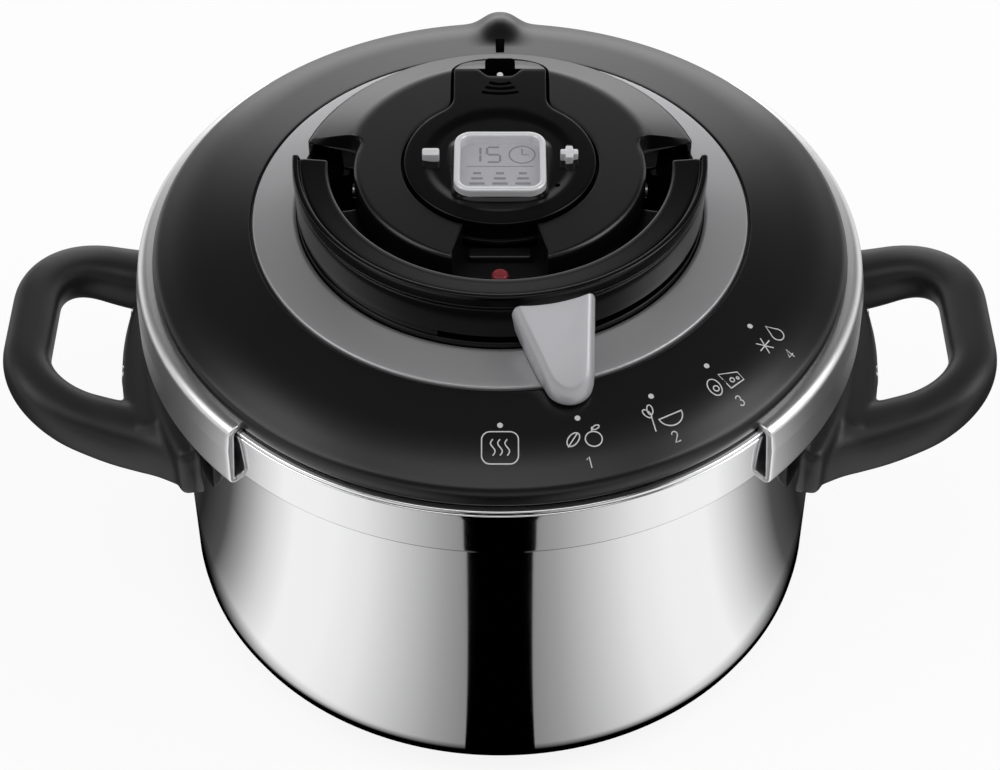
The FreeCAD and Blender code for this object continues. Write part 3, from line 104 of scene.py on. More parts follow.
# %% [markdown]
# ## Profiles with soft corners
#
# No moulded or pressed corner is sharp. A profile is a list of corner points, each with the bend
# radius of that corner, and one function turns the whole list into a smooth line at once.

# %% Round the corners of an outline
PLAIN_BEND = 0.12


def bent(corners, closed=True, span=3.0, steps=6):
    """Corner points (x, y, bend radius) become one polyline.

    At each corner the arc starts and ends bend / tan(half the corner angle) along its two sides, and
    its centre is bend / sin(half the corner angle) along the bisector. A point between the two ends is
    their spherical mix: (sin((1 - t) turn) start + sin(t turn) end) / sin(turn). Straight runs are then
    cut so that no step is longer than span. A corner without a bend of its own gets PLAIN_BEND.
    """
    table = np.array([tuple(c) + (PLAIN_BEND,) * (3 - len(c)) for c in corners], float)
    point = table[:, :2]
    before = np.roll(point, 1, axis=0) - point
    after = np.roll(point, -1, axis=0) - point
    before_length = np.linalg.norm(before, axis=1)
    after_length = np.linalg.norm(after, axis=1)
    u = before / before_length[:, None]
    v = after / after_length[:, None]
    half = np.arccos(np.clip((u * v).sum(1), -0.99999, 0.99999)) / 2
    reach = np.minimum(table[:, 2] / np.tan(half), 0.49 * np.minimum(before_length, after_length))
    bend = reach * np.tan(half)
    bisector = (u + v) / np.linalg.norm(u + v, axis=1)[:, None]
    centre = point + bisector * (bend / np.sin(half))[:, None]
    start = point + u * reach[:, None] - centre
    end = point + v * reach[:, None] - centre
    turn = np.pi - 2 * half
    t = np.linspace(0, 1, steps + 1)[None, :, None]
    turn = turn[:, None, None]
    mix = (np.sin((1 - t) * turn) * start[:, None] + np.sin(t * turn) * end[:, None]) / np.sin(turn)
    line = centre[:, None] + mix
    if not closed:
        line[0] = point[0]
        line[-1] = point[-1]
    line = line.reshape(-1, 2)
    following = np.roll(line, -1, axis=0)
    length = np.linalg.norm(following - line, axis=1)
    if not closed:
        length[-1] = 0.0
    cuts = np.maximum(1, np.ceil(length / span)).astype(int)
    owner = np.repeat(np.arange(len(line)), cuts)
    step = np.arange(len(owner)) - np.repeat(np.cumsum(cuts) - cuts, cuts)
    share = (step / cuts[owner])[:, None]
    cut_line = line[owner] * (1 - share) + following[owner] * share
    keep = np.ones(len(cut_line), bool)
    keep[1:] = np.linalg.norm(np.diff(cut_line, axis=0), axis=1) > 1e-5
    return cut_line[keep]


def box(x0, x1, y0, y1, bend=0.3):
    """A rectangle's four corners with one bend."""
    return [(x0, y0, bend), (x1, y0, bend), (x1, y1, bend), (x0, y1, bend)]


def outward(line):
    """Unit normals of a closed polyline: the mean of the two neighbouring sides, turned a quarter."""
    along = np.roll(line, -1, axis=0) - np.roll(line, 1, axis=0)
    along /= np.maximum(np.linalg.norm(along, axis=1), 1e-9)[:, None]
    normal = np.stack([along[:, 1], -along[:, 0]], 1)
    x, y = line.T
    area = (x * np.roll(y, -1) - np.roll(x, -1) * y).sum()
    return normal if area > 0 else -normal


print("corners of a 10 mm square with 2 mm bends:", len(bent(box(0, 10, 0, 10, 2.0))), "points")

# %% [markdown]
# ## Surfaces on a grid
#
# Every surface here is a grid of points: one direction follows the profile, the other follows the way
# the profile is carried. The faces of a grid are always the same four-index pattern, so they are
# written once.

# %% Grids, turned and lifted surfaces
def shell(grid, closed_rows=False):
    """A grid of points (rows, columns, 3) as one closed shell. Its columns always wrap round.

    A cell is four indices: (i, j), (i + 1, j), (i + 1, j + 1), (i, j + 1). The rows wrap round as well
    if closed_rows is set; if not, the first row and the last one are capped.
    """
    rows, columns = grid.shape[:2]
    i, j = np.meshgrid(np.arange(rows if closed_rows else rows - 1), np.arange(columns), indexing="ij")
    i_next = (i + 1) % rows
    j_next = (j + 1) % columns
    cell = [i * columns + j, i_next * columns + j, i_next * columns + j_next, i * columns + j_next]
    faces = np.stack(cell, -1).reshape(-1, 4).tolist()
    if not closed_rows:
        faces.append(list(range(columns)))
        faces.append(list(range((rows - 1) * columns, rows * columns)))
    return grid.reshape(-1, 3), faces


def around(radius, azimuth, level):
    """Points at (radius, azimuth in radians, level): x = r sin a, y = -r cos a, z = level."""
    return np.stack(np.broadcast_arrays(radius * np.sin(azimuth), -radius * np.cos(azimuth), level), -1)


def turned(corners, start=0.0, end=360.0, edge=0.5, step=1.5, span=3.0):
    """A profile (radius, level) carried round the pot's axis.

    A full turn closes on itself. A part turn ends in flat faces whose edges are rounded: over the last
    edge millimetres the profile draws in by edge (1 - cos t) while it advances by edge (1 - sin t).
    """
    line = bent(corners, span=span)
    count = max(3, int(round((end - start) / step)))
    if end - start >= 360.0:
        azimuth = np.radians(start + np.arange(count) * 360.0 / count)[:, None]
        return shell(around(line[None, :, 0], azimuth, line[None, :, 1]), closed_rows=True)
    t = np.linspace(0, np.pi / 2, 5)
    draw_in = edge * (1 - np.cos(t))
    advance = edge * (1 - np.sin(t))
    between = np.zeros(count - 1)
    inset = np.concatenate([draw_in[::-1], between, draw_in])
    along = np.concatenate([advance[::-1], between, -advance])
    base = np.concatenate([np.full(5, start), np.linspace(start, end, count + 1)[1:-1], np.full(5, end)])
    section = line[None] - inset[:, None, None] * outward(line)[None]
    azimuth = np.radians(base)[:, None] + along[:, None] / section[..., 0]
    return shell(around(section[..., 0], azimuth, section[..., 1]))


def level_ring(line, level):
    """A plan line as one row of a grid, all at one level."""
    return np.column_stack([line, np.full(len(line), level)])


def rounded_rings(line, normal, edge, top):
    """Rows of a rounded edge: they draw in by edge (1 - cos t) against normal and climb by edge sin t."""
    return [level_ring(line - edge * (1 - np.cos(t)) * normal, top - edge + edge * np.sin(t))
            for t in np.linspace(0, np.pi / 2, 6)]


def raised(line, bottom, top, edge, crown=None):
    """A closed plan line raised from bottom to top, with its upper edge rounded.

    crown, where it is given, is added to the level of the rows above the bottom, from their x and y.
    """
    grid = np.array([level_ring(line, bottom)] + rounded_rings(line, outward(line), edge, top))
    if crown:
        grid[1:, :, 2] += crown(grid[1:, :, 0], grid[1:, :, 1])
    return shell(grid)


def lifted(corners, bottom, top, edge=0.4):
    """As raised, for a plan outline given by its corners."""
    return raised(bent(corners), bottom, top, edge)


def moved(made, y):
    """A shell moved along y: a turned piece that stands off the pot's axis."""
    points, faces = made
    return points + [0.0, y, 0.0], faces


def swept(sections, path):
    """An outline (across, up) for each point of a path, kept square to the path.

    The tangent is the difference of the neighbours, across = tangent x up, and rise = across x tangent.
    """
    tangent = np.gradient(path, axis=0)
    tangent /= np.linalg.norm(tangent, axis=1)[:, None]
    across = np.cross(tangent, [0.0, 0.0, 1.0])
    across /= np.linalg.norm(across, axis=1)[:, None]
    rise = np.cross(across, tangent)
    return shell(path[:, None] + sections[..., :1] * across[:, None] + sections[..., 1:] * rise[:, None])


print("faces of a 2 by 3 grid and its caps:", shell(np.zeros((2, 3, 3)))[1])

# %% [markdown]
# ## From arrays to an object
#
# A piece is one or more closed shells. Doubled points on seams and poles are merged first, then the
# faces are turned outwards, and only edges sharper than a set angle stay sharp.

# %% Make a piece
import bmesh


def make_piece(name, shells, body, finish, stands_for=(), sharp=40.0):
    """Shells in millimetres become one object at the origin that rides on a body."""
    points = np.concatenate([p for p, _ in shells]) * MM
    firsts = np.cumsum([0] + [len(p) for p, _ in shells[:-1]])
    faces = [[i + int(first) for i in face] for first, (_, own) in zip(firsts, shells) for face in own]
    mesh = bpy.data.meshes.new(name)
    mesh.from_pydata(points.tolist(), [], faces)
    clean(mesh, sharp)
    thing = bpy.data.objects.new(name, mesh)
    bpy.context.scene.collection.objects.link(thing)
    dress(thing, body, finish, stands_for)
    print("%-24s %6d faces" % (name, len(mesh.polygons)))
    return thing


def clean(mesh, sharp):
    """Merge doubled points, turn faces outwards, and keep only edges above the angle sharp."""
    work = bmesh.new()
    work.from_mesh(mesh)
    bmesh.ops.remove_doubles(work, verts=work.verts, dist=2e-6)
    bmesh.ops.dissolve_degenerate(work, edges=work.edges, dist=1e-7)
    bmesh.ops.recalc_face_normals(work, faces=work.faces)
    work.to_mesh(mesh)
    work.free()
    mesh.polygons.foreach_set("use_smooth", np.ones(len(mesh.polygons), bool))
    mesh.set_sharp_from_angle(angle=np.radians(sharp))


def dress(thing, body, finish, stands_for=()):
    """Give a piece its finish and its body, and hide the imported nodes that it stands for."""
    slot, material = finish
    thing.data.materials.clear()
    thing.data.materials.append(material)
    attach(thing, body)
    for packed in stands_for:
        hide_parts(packed)


# %% [markdown]
# ## Shader arithmetic
#
# A pattern reads best as a formula. One small class wraps a node's socket, so that
# 1 - mask * 0.5 builds the Math nodes by itself.

# %% The socket wrapper
class Flow:
    """A socket, or a number, in a material's node tree."""

    def __init__(self, tree, socket):
        self.tree = tree
        self.socket = socket

    def math(self, operation, *others):
        made = self.tree.nodes.new("ShaderNodeMath")
        made.operation = operation
        for place, value in enumerate((self,) + others):
            join(self.tree, value, made.inputs[place])
        return Flow(self.tree, made.outputs[0])

    def clamped(self):
        """Kept between 0 and 1."""
        return self.math("MAXIMUM", 0.0).math("MINIMUM", 1.0)

    def __add__(self, other): return self.math("ADD", other)
    def __sub__(self, other): return self.math("SUBTRACT", other)
    def __mul__(self, other): return self.math("MULTIPLY", other)
    def __truediv__(self, other): return self.math("DIVIDE", other)
    def __radd__(self, other): return self.math("ADD", other)
    def __rmul__(self, other): return self.math("MULTIPLY", other)
    def __rsub__(self, other): return (self * -1.0).math("ADD", other)
    def __gt__(self, other): return self.math("GREATER_THAN", other)


def join(tree, value, socket):
    """Link a wrapped socket, or set a plain value."""
    if isinstance(value, Flow):
        tree.links.new(value.socket, socket)
    else:
        socket.default_value = value


def node(tree, kind, output=0, settings=None, **inputs):
    """Any node: its type, its settings, then the values or links of its inputs by name."""
    made = tree.nodes.new(kind)
    for key, value in (settings or {}).items():
        setattr(made, key, value)
    for key, value in inputs.items():
        join(tree, value, made.inputs[key.replace("_", " ")])
    return Flow(tree, made.outputs[output])


# %% [markdown]
# ## Finishes
#
# Steel is a bare metal: its colour is its reflection. The plastics are dark bases under a clear
# specular layer, and what tells them apart is how rough that layer is. A fine noise in the roughness
# and a very shallow grain keep each one from looking like glass.

# %% One recipe for every finish
GRAIN_SCALE = 900.0
CLOUD_SCALE = 35.0


def finish(slot, colour, roughness, metallic=0.0, grain=0.0, wander=0.0, specular=0.5):
    """A material: colour, roughness that wanders a little over the surface, and a fine grain."""
    material = bpy.data.materials.new(slot)
    material.use_nodes = True
    tree = material.node_tree
    shader = tree.nodes["Principled BSDF"]
    shader.inputs["Base Color"].default_value = tuple(colour) + (1.0,)
    shader.inputs["Roughness"].default_value = roughness
    shader.inputs["Metallic"].default_value = metallic
    shader.inputs["Specular IOR Level"].default_value = specular
    place = node(tree, "ShaderNodeTexCoord", 3)
    if wander:
        cloud = node(tree, "ShaderNodeTexNoise", Vector=place, Scale=CLOUD_SCALE, Detail=4.0, Roughness=0.6)
        join(tree, roughness + wander * (cloud - 0.5), shader.inputs["Roughness"])
    if grain:
        fine = node(tree, "ShaderNodeTexNoise", Vector=place, Scale=GRAIN_SCALE, Detail=2.0, Roughness=0.5)
        bump = node(tree, "ShaderNodeBump", Height=fine, Strength=grain, Distance=0.0001)
        join(tree, bump, shader.inputs["Normal"])
    return slot, material


POT_STEEL = finish("pot_steel", (0.9, 0.9, 0.91), 0.07, metallic=1.0, wander=0.03)
BASE_ALUMINIUM = finish("base_aluminium", (0.6, 0.6, 0.61), 0.35, metallic=1.0, wander=0.1)
PLAIN_STEEL = finish("plain_steel", (0.6, 0.6, 0.61), 0.3, metallic=1.0, wander=0.1)
JAW_STEEL = finish("pot_steel", (0.92, 0.92, 0.93), 0.34, metallic=1.0, wander=0.04)
HANDLE_PLASTIC = finish("handle_plastic", (0.014, 0.014, 0.015), 0.42, wander=0.06, grain=0.2, specular=0.4)
SEAL_RUBBER = finish("seal_rubber", (0.42, 0.42, 0.41), 0.55)
COVER_PLASTIC = finish("cover_plastic", (0.0035, 0.0035, 0.0038), 0.3, wander=0.04, grain=0.1)
RING_SATIN = finish("ring_satin", (0.42, 0.42, 0.43), 0.42, metallic=0.7, wander=0.04)
HUB_PLASTIC = finish("hub_plastic", (0.001, 0.001, 0.0012), 0.17, wander=0.03, specular=0.3)
CAP_PLASTIC = finish("cover_plastic", (0.003, 0.003, 0.0033), 0.28, wander=0.03)
INNER_PLASTIC = finish("inner_plastic", (0.02, 0.02, 0.02), 0.5)
VALVE_BRASS = finish("valve_brass", (0.72, 0.55, 0.3), 0.25, metallic=1.0, wander=0.1)
INDICATOR_RED = finish("indicator_red", (0.16, 0.014, 0.02), 0.35, specular=0.3)
LEVER_SILVER = finish("lever_silver", (0.46, 0.46, 0.48), 0.34, metallic=0.35, wander=0.03)
TIMER_PLASTIC = finish("timer_plastic", (0.0012, 0.0012, 0.0014), 0.2, wander=0.03, specular=0.24)
BEZEL_SILVER = finish("bezel_silver", (0.7, 0.7, 0.72), 0.3, metallic=0.3)
DISPLAY_GREY = finish("display_grey", (0.3, 0.3, 0.33), 0.4)
DISPLAY_INK = finish("display_ink", (0.05, 0.05, 0.06), 0.5, specular=0.2)
BOARD_GREEN = finish("board_green", (0.03, 0.14, 0.06), 0.4)
# A black without any reflection. On the bail's sleeves and on the floor of the timer's notch it is painted
# shade; it also colours the black hook and the grip marks.
BLACK_AND_SHADE = finish("inner_plastic", (0.001, 0.001, 0.001), 0.6, specular=0.0)
MARK_GREY = finish("mark_grey", (0.5, 0.5, 0.5), 0.5)


def clear_window():
    """The display's window: an almost invisible sheet that only adds a soft reflection."""
    material = bpy.data.materials.new("window_clear")
    material.use_nodes = True
    shader = material.node_tree.nodes["Principled BSDF"]
    shader.inputs["Base Color"].default_value = (0.8, 0.8, 0.82, 1.0)
    shader.inputs["Roughness"].default_value = 0.12
    shader.inputs["Alpha"].default_value = 0.12
    return "window_clear", material


WINDOW_CLEAR = clear_window()

# %% [markdown]
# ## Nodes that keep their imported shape
#
# The mechanism, the valves and the timer's inside are only seen when something is lifted off. Their
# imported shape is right, so they only get their finish.

# %% Finish the kept nodes
KEPT = dict([
    PLAIN_STEEL, VALVE_BRASS, INNER_PLASTIC, BOARD_GREEN, WINDOW_CLEAR, DISPLAY_GREY, INDICATOR_RED,
    TIMER_PLASTIC, BASE_ALUMINIUM, SEAL_RUBBER, POT_STEEL, HANDLE_PLASTIC, COVER_PLASTIC, RING_SATIN,
    HUB_PLASTIC, LEVER_SILVER, BEZEL_SILVER,
])
for entry in frame["record"]["subparts"]:
    kept = frame["nodes"][entry["node"]]
    kept.data.materials.clear()
    kept.data.materials.append(KEPT[entry["material_slot"]])

# %% [markdown]
# ## The pot
#
# A real pot is deep drawn from one disc of steel and polished. It is a body of revolution, so one
# profile turned round the axis gives the wall, the stepped rim and the inside in a single skin. The
# straight runs are cut short, so that a rounded corner doesn't bend the reflection of the flat wall.

# %% The pot and its base
POT_RADIUS = RIM_RADIUS - 6.3
POT_WALL = 1.2
POT_CORNER = 13.0
BAND_LOW = 128.0
band_inside = BAND_LOW + POT_WALL
pot_profile = [
    (0.0, POT_FLOOR), (POT_RADIUS, POT_FLOOR, POT_CORNER), (POT_RADIUS, BAND_LOW, 0.5),
    (RIM_RADIUS - 0.4, BAND_LOW, 0.5), (RIM_RADIUS, BAND_LOW + 1.0, 0.6), (RIM_RADIUS, RIM_TOP, 0.5),
    (RIM_RADIUS - POT_WALL, RIM_TOP, 0.4), (RIM_RADIUS - POT_WALL, band_inside, 0.5),
    (POT_RADIUS - POT_WALL, band_inside, 0.5),
    (POT_RADIUS - POT_WALL, POT_FLOOR + POT_WALL, POT_CORNER - POT_WALL), (0.0, POT_FLOOR + POT_WALL),
]
make_piece("pot_skin", [turned(pot_profile, step=1.25, span=2.0)], "pot", POT_STEEL, ["pot_shell"])
base_radius = high("base_disc", 0)
base_profile = [(0.0, 0.0), (base_radius, 0.0, 2.0), (base_radius, POT_FLOOR, 0.3), (0.0, POT_FLOOR)]
make_piece("base_skin", [turned(base_profile)], "pot", BASE_ALUMINIUM, ["base_disc"])

# %% [markdown]
# ## The lid plate and its seal
#
# Only the lip of the plate shows, as a thin bright line between the rim and the black cover. The
# skirt below it and the seal appear when the lid is lifted off.

# %% The lid plate
PLATE_SHEET = 1.2
SKIRT = 107.4
plate_radius = high("lid_plate", 0)
plate_low = low("lid_plate", 2)
plate_under = LID_TOP - PLATE_SHEET
plate_profile = [
    (0.0, plate_under), (SKIRT - PLATE_SHEET, plate_under, 0.5), (SKIRT - PLATE_SHEET, plate_low, 0.5),
    (SKIRT, plate_low, 0.5), (SKIRT, plate_under, 0.5), (plate_radius, plate_under, 0.3),
    (plate_radius, LID_TOP, 0.6), (0.0, LID_TOP),
]
make_piece("lid_plate_skin", [turned(plate_profile)], "lid", POT_STEEL, ["lid_plate"])

# %% The seal
SEAL_LIP = 3.4
SEAL_BACK = 3.3
seal_inner = SKIRT + 0.1
seal_low = low("lid_seal", 2)
seal_outer = high("lid_seal", 0)
seal_top = high("lid_seal", 2)
seal_profile = [
    (seal_inner, seal_low, 1.2), (seal_outer, seal_low, 1.5), (seal_outer, seal_top, 1.5),
    (seal_inner, seal_top, 1.2), (seal_inner, seal_top - SEAL_LIP, 1.2),
    (seal_outer - SEAL_BACK, seal_top - SEAL_LIP, 1.0), (seal_outer - SEAL_BACK, seal_low + SEAL_LIP, 1.0),
    (seal_inner, seal_low + SEAL_LIP, 1.2),
]
make_piece("lid_seal_skin", [turned(seal_profile)], "lid", SEAL_RUBBER, ["lid_seal"])

# %% [markdown]
# ## The jaws
#
# Each jaw is a strip of steel bent to a C that hooks under the rim. The bent profile is carried
# through the jaw's 92 degrees, and its ends are rounded as the real ones are rolled.

# %% The jaws
JAW_OUT = 122.6
JAW_IN = 108.0
JAW_HOOK = 113.4
JAW_SHEET = 2.0
JAW_HALF_TURN = 46.0
ARM_HALF = 12.0
jaw_low = low("right_jaw", 2)
jaw_top = high("right_jaw", 2)
shoulder = JAW_OUT - 1.7
jaw_profile = [
    (JAW_HOOK, jaw_low, 0.8), (JAW_OUT, jaw_low, 2.6), (JAW_OUT - 0.3, 141.0, 1.0),
    (shoulder, jaw_top, 3.6), (JAW_IN, jaw_top, 0.8), (JAW_IN, jaw_top - JAW_SHEET, 0.8),
    (shoulder - JAW_SHEET, jaw_top - JAW_SHEET, 1.6), (JAW_OUT - JAW_SHEET, jaw_low + JAW_SHEET, 0.8),
    (JAW_HOOK, jaw_low + JAW_SHEET, 0.8),
]
for side, direction, middle in (("right", 1, 90.0), ("left", -1, 270.0)):
    rail = turned(jaw_profile, middle - JAW_HALF_TURN, middle + JAW_HALF_TURN, edge=0.8, step=1.0, span=2.0)
    inner, outer = direction * 23.0, direction * 110.0
    arm_plan = [(inner, -ARM_HALF, 2.0), (inner, ARM_HALF, 2.0),
                (outer, ARM_HALF, 1.0), (outer, -ARM_HALF, 1.0)]
    arm = lifted(arm_plan, jaw_top - JAW_SHEET, jaw_top, edge=0.3)
    make_piece(side + "_jaw_skin", [rail, arm], side + "_jaw_body", JAW_STEEL, [side + "_jaw"])

# %% [markdown]
# ## The pot handles
#
# The handles are moulded in one, so a plate that follows the pot, a web and a looping grip have to
# melt into each other. Each part is made on its own, then a voxel remesh fuses them and a few rounds
# of smoothing turn the hard joins into fillets, as a mould maker's radius does.

# %% Helpers for the handles
POT_HUG = 113.9


def superellipse(power, count=40):
    """|x| ^ p + |y| ^ p = 1, walked by angle: each coordinate is its cosine or sine to the power 2 / p."""
    t = np.linspace(0, 2 * np.pi, count, endpoint=False)
    wave = np.stack([np.cos(t), np.sin(t)], -1)
    return np.sign(wave) * np.abs(wave) ** (2 / power)


def fade(value, start, end):
    """A smooth step: 3 t^2 - 2 t^3, with t the share of the way from start to end."""
    t = np.clip((value - start) / (end - start), 0.0, 1.0)
    return t * t * (3.0 - 2.0 * t)


# %% The pot handles
GRIP_LEVEL = (low("right_pot_handle", 2) + high("right_pot_handle", 2)) / 2
GRIP_OUT = high("right_pot_handle", 0) - 8.6
KNEE_OUT = 117.0


def climb(x):
    """How far along its climb the grip is: 0 at the knee, 1 at the handle's outer end."""
    return fade(x, KNEE_OUT, high("right_pot_handle", 0))


def grip_path():
    """The grip's centreline: out from the pot, round two wide corners and back, and it climbs outwards."""
    corners = [(97.0, -49.3), (KNEE_OUT, -38.9, 45.0), (GRIP_OUT, -34.6, 35.0),
               (GRIP_OUT, 34.6, 35.0), (KNEE_OUT, 38.9, 45.0), (97.0, 49.3)]
    plan = bent(corners, closed=False, span=1.5, steps=24)
    return np.column_stack([plan, GRIP_LEVEL - 5.0 + 15.4 * climb(plan[:, 0])])


def pot_handle(side, direction):
    """Grip, root plate and web, fused by a remesh and smoothed. The section slims as the grip climbs."""
    path = grip_path()
    out = climb(path[:, 0])
    size = np.column_stack([10.8 - 2.8 * out, 10.5 - 2.9 * out])
    grip = swept(superellipse(2.5)[None] * size[:, None], path)
    plate_profile = box(POT_HUG, 122.0, GRIP_LEVEL - 12.0, GRIP_LEVEL + 8.5, 3.0)
    web_profile = box(POT_HUG + 0.6, 131.4, GRIP_LEVEL - 13.0, GRIP_LEVEL + 6.5, 4.5)
    shells = [grip, turned(plate_profile, 60.5, 119.5, edge=2.8), turned(web_profile, 69.5, 110.5, edge=3.0)]
    shells = [(points * [direction, 1.0, 1.0], faces) for points, faces in shells]
    handle = make_piece(side + "_pot_handle_skin", shells, "pot", HANDLE_PLASTIC, [side + "_pot_handle"])
    fuse(handle, voxel=0.8, rounds=16)


def fuse(thing, voxel, rounds):
    """Voxel remesh in millimetres, then smoothing, both applied to the mesh.

    Points that the smoothing moved into the pot's wall are pushed back out to the radius POT_HUG.
    """
    remesh = thing.modifiers.new("fuse", "REMESH")
    remesh.mode = "VOXEL"
    remesh.voxel_size = voxel * MM
    smooth = thing.modifiers.new("fillets", "SMOOTH")
    smooth.factor = 0.6
    smooth.iterations = rounds
    graph = bpy.context.evaluated_depsgraph_get()
    result = bpy.data.meshes.new_from_object(thing.evaluated_get(graph))
    thing.modifiers.clear()
    thing.data = result
    points = np.empty(len(result.vertices) * 3)
    result.vertices.foreach_get("co", points)
    points = points.reshape(-1, 3)
    radius = np.hypot(points[:, 0], points[:, 1])
    inside = radius < POT_HUG * MM
    points[inside, :2] *= (POT_HUG * MM / radius[inside])[:, None]
    result.vertices.foreach_set("co", points.ravel())
    result.polygons.foreach_set("use_smooth", np.ones(len(result.polygons), bool))
    print("%-24s %6d faces after fusing" % (thing.name, len(result.polygons)))


for side, direction in (("right", 1), ("left", -1)):
    pot_handle(side, direction)

# %% [markdown]
# ## The lid cover
#
# The cover is a dome of satin plastic. Seen as a function, its level depends on the radius alone,
# except at the rear, where a swelling over the steam outlet is blended in and a narrow slot is cut
# down through it. The grid's lines are packed closely round the slot, so that its sides come out
# steep and straight.

# %% The cover as a surface
LEDGE_RADIUS = 82.8
COVER_HOLE = 60.0
COVER_PROFILE = bent([(COVER_RADIUS - 2.4, COVER_LOW, 0.5), (COVER_RADIUS, COVER_LOW, 0.9),
                      (COVER_RADIUS, LID_TOP + 6.0, 4.5), (104.0, LID_TOP + 11.6, 60.0),
                      (LEDGE_RADIUS, COVER_CROWN, 0.5), (LEDGE_RADIUS, RING_LOW, 0.3),
                      (COVER_HOLE, RING_LOW)], closed=False, span=1.5, steps=10)
SLOT_HALF = 1.45
SLOT_FRONT = 85.7
SLOT_REAR = 94.7
SLOT_DEPTH = 5.5
SLOT_DRAFT = 0.25


def cover_level(radius):
    """The level of the cover's top at a radius, without the swelling."""
    top = COVER_PROFILE[:, 1] > LID_TOP + 4.5
    line = COVER_PROFILE[top & (COVER_PROFILE[:, 0] > 82.9)]
    order = np.argsort(line[:, 0])
    return np.interp(radius, line[order, 0], line[order, 1])


def swell(x, y):
    """The swelling's extra height: a rounded ridge that rises towards the rear edge.

    Across, it is a bell that is flat near the middle. Along, it fades in from the ring outwards.
    """
    across = np.exp(-np.abs(x / 7.4) ** 2.6)
    along = fade(y, 90.0, 107.0)
    return 5.2 * across * along


def lid_cover():
    """The cover's grid: profile points by azimuths, with the swelling and the slot added to the level.

    Extra azimuths and radii lie close together round the slot, in pairs SLOT_DRAFT apart at its sides.
    """
    sides = np.array([-SLOT_HALF - SLOT_DRAFT, -SLOT_HALF, SLOT_HALF, SLOT_HALF + SLOT_DRAFT])
    ends = [SLOT_FRONT, SLOT_FRONT - SLOT_DRAFT, SLOT_REAR, SLOT_REAR + SLOT_DRAFT]
    azimuth = np.unique(np.concatenate([np.arange(0.0, 360.0, 1.5), np.linspace(165.0, 195.0, 61),
                                        180.0 + np.degrees(np.arctan2(sides, 96.0))]))
    under = [(COVER_HOLE, RING_LOW - 2.0), (81.0, RING_LOW - 2.0), (102.0, LID_TOP + 9.2),
             (113.6, LID_TOP + 4.0)]
    line = np.concatenate([COVER_PROFILE, under])
    extra = np.linspace(99.0, 84.5, 60)
    extra = extra[(extra > 85.0) & (extra < 98.5)]
    top = (COVER_PROFILE[:, 0] > 84.0) & (COVER_PROFILE[:, 1] > LID_TOP + 6.5)
    first, last = np.flatnonzero(top)[[0, -1]]
    radii = np.unique(np.concatenate([line[first:last + 1, 0], extra, ends]))[::-1]
    line = np.concatenate([line[:first], np.column_stack([radii, cover_level(radii)]), line[last + 1:]])
    is_top = np.zeros(len(line), bool)
    is_top[first:first + len(radii)] = True
    weight = is_top.astype(float)
    weight[:first] = fade(line[:first, 1], LID_TOP + 2.0, LID_TOP + 6.5)
    grid = around(line[None, :, 0], np.radians(azimuth)[:, None], line[None, :, 1])
    x, y = grid[..., 0], grid[..., 1]
    in_slot = (np.abs(x) < SLOT_HALF + 0.05) & (y > SLOT_FRONT - 0.1) & (y < SLOT_REAR + 0.1)
    grid[..., 2] += swell(x, y) * weight * (y > 0) - np.where(in_slot & is_top, SLOT_DEPTH, 0.0)
    return shell(grid, closed_rows=True)


make_piece("lid_cover_skin", [lid_cover()], "lid", COVER_PLASTIC, ["lid_cover"], sharp=50.0)

# %% [markdown]
# ## The programme ring
#
# A satin silver ring sits on the cover's ledge and slopes down outwards. Its two edges are polished
# lines, which come from small bends in the profile that turn quickly through the light.

# %% The programme ring
ring_inner = HUB_RADIUS + 0.3
ring_profile = [(ring_inner, RING_LOW, 0.2), (RING_RADIUS, RING_LOW, 0.2), (RING_RADIUS, RING_LOW + 1.6, 0.8),
                (ring_inner + 1.2, RING_TOP, 1.6), (ring_inner, RING_TOP - 0.5, 0.4)]
programme_ring = turned(ring_profile, step=1.25, span=1.5)
make_piece("programme_ring_skin", [programme_ring], "lid", RING_SATIN, ["programme_ring"])

# %% [markdown]
# ## The hub's wall
#
# The wall is high at the front, where the bail lies on it, and low at the sides and rear. Two thin
# seams run round it: between them is the slot that the selector's tongue comes through. Each band is
# a part turn of its own small profile.

# %% The hub's wall and channel
wall_inner = HUB_RADIUS - 2.0
slot_low = 168.4
slot_high = 171.0
side_top = 171.5
rear_top = 176.0
channel_top = 173.6
hub_shells = [
    turned(box(wall_inner, HUB_RADIUS, RING_LOW, slot_low, 0.35), step=1.25),
    turned(box(wall_inner, HUB_RADIUS, slot_high, HUB_TOP, 0.5), -86.0, 86.0, edge=0.5, step=1.25),
    turned(box(wall_inner, HUB_RADIUS, slot_high, rear_top, 0.35), 107.0, 253.0, step=1.25),
    turned(box(wall_inner, HUB_RADIUS, slot_high, side_top, 0.2), 85.0, 108.0, edge=0.1),
    turned(box(wall_inner, HUB_RADIUS, slot_high, side_top, 0.2), 252.0, 275.0, edge=0.1),
    turned(box(wall_inner, HUB_RADIUS - 0.5, slot_low - 0.3, slot_high + 0.3, 0.1), 75.0, 343.0,
           edge=0.1, step=1.25),
    turned(box(52.0, wall_inner + 0.5, 166.4, slot_low, 0.2), step=2.0),
    turned(box(47.8, wall_inner + 0.3, channel_top - 1.6, channel_top, 0.3), -78.0, 78.0, step=1.5),
]
for place in (45.0, 135.0, 225.0, 315.0):
    x, y = 55.0 * np.sin(np.radians(place)), -55.0 * np.cos(np.radians(place))
    pillar = box(x - 4, x + 4, y - 4, y + 4, 3.9)
    hub_shells.append(lifted(pillar, LID_TOP, 167.0, edge=0.2))
make_piece("hub_wall_skin", hub_shells, "lid", HUB_PLASTIC, ["hub_housing"])

# %% [markdown]
# ## The hub's cap
#
# The cap is a flat disc that runs out over a sloping shoulder round the rear. The timer's well, its
# stem and the front pocket are open, so in plan the cap is a band between an inner outline and an
# outer one. The surface is carried from one outline to the other: up the inner wall, over a small
# bend, across, over a larger bend and down the outer wall. Its level depends on the radius alone.

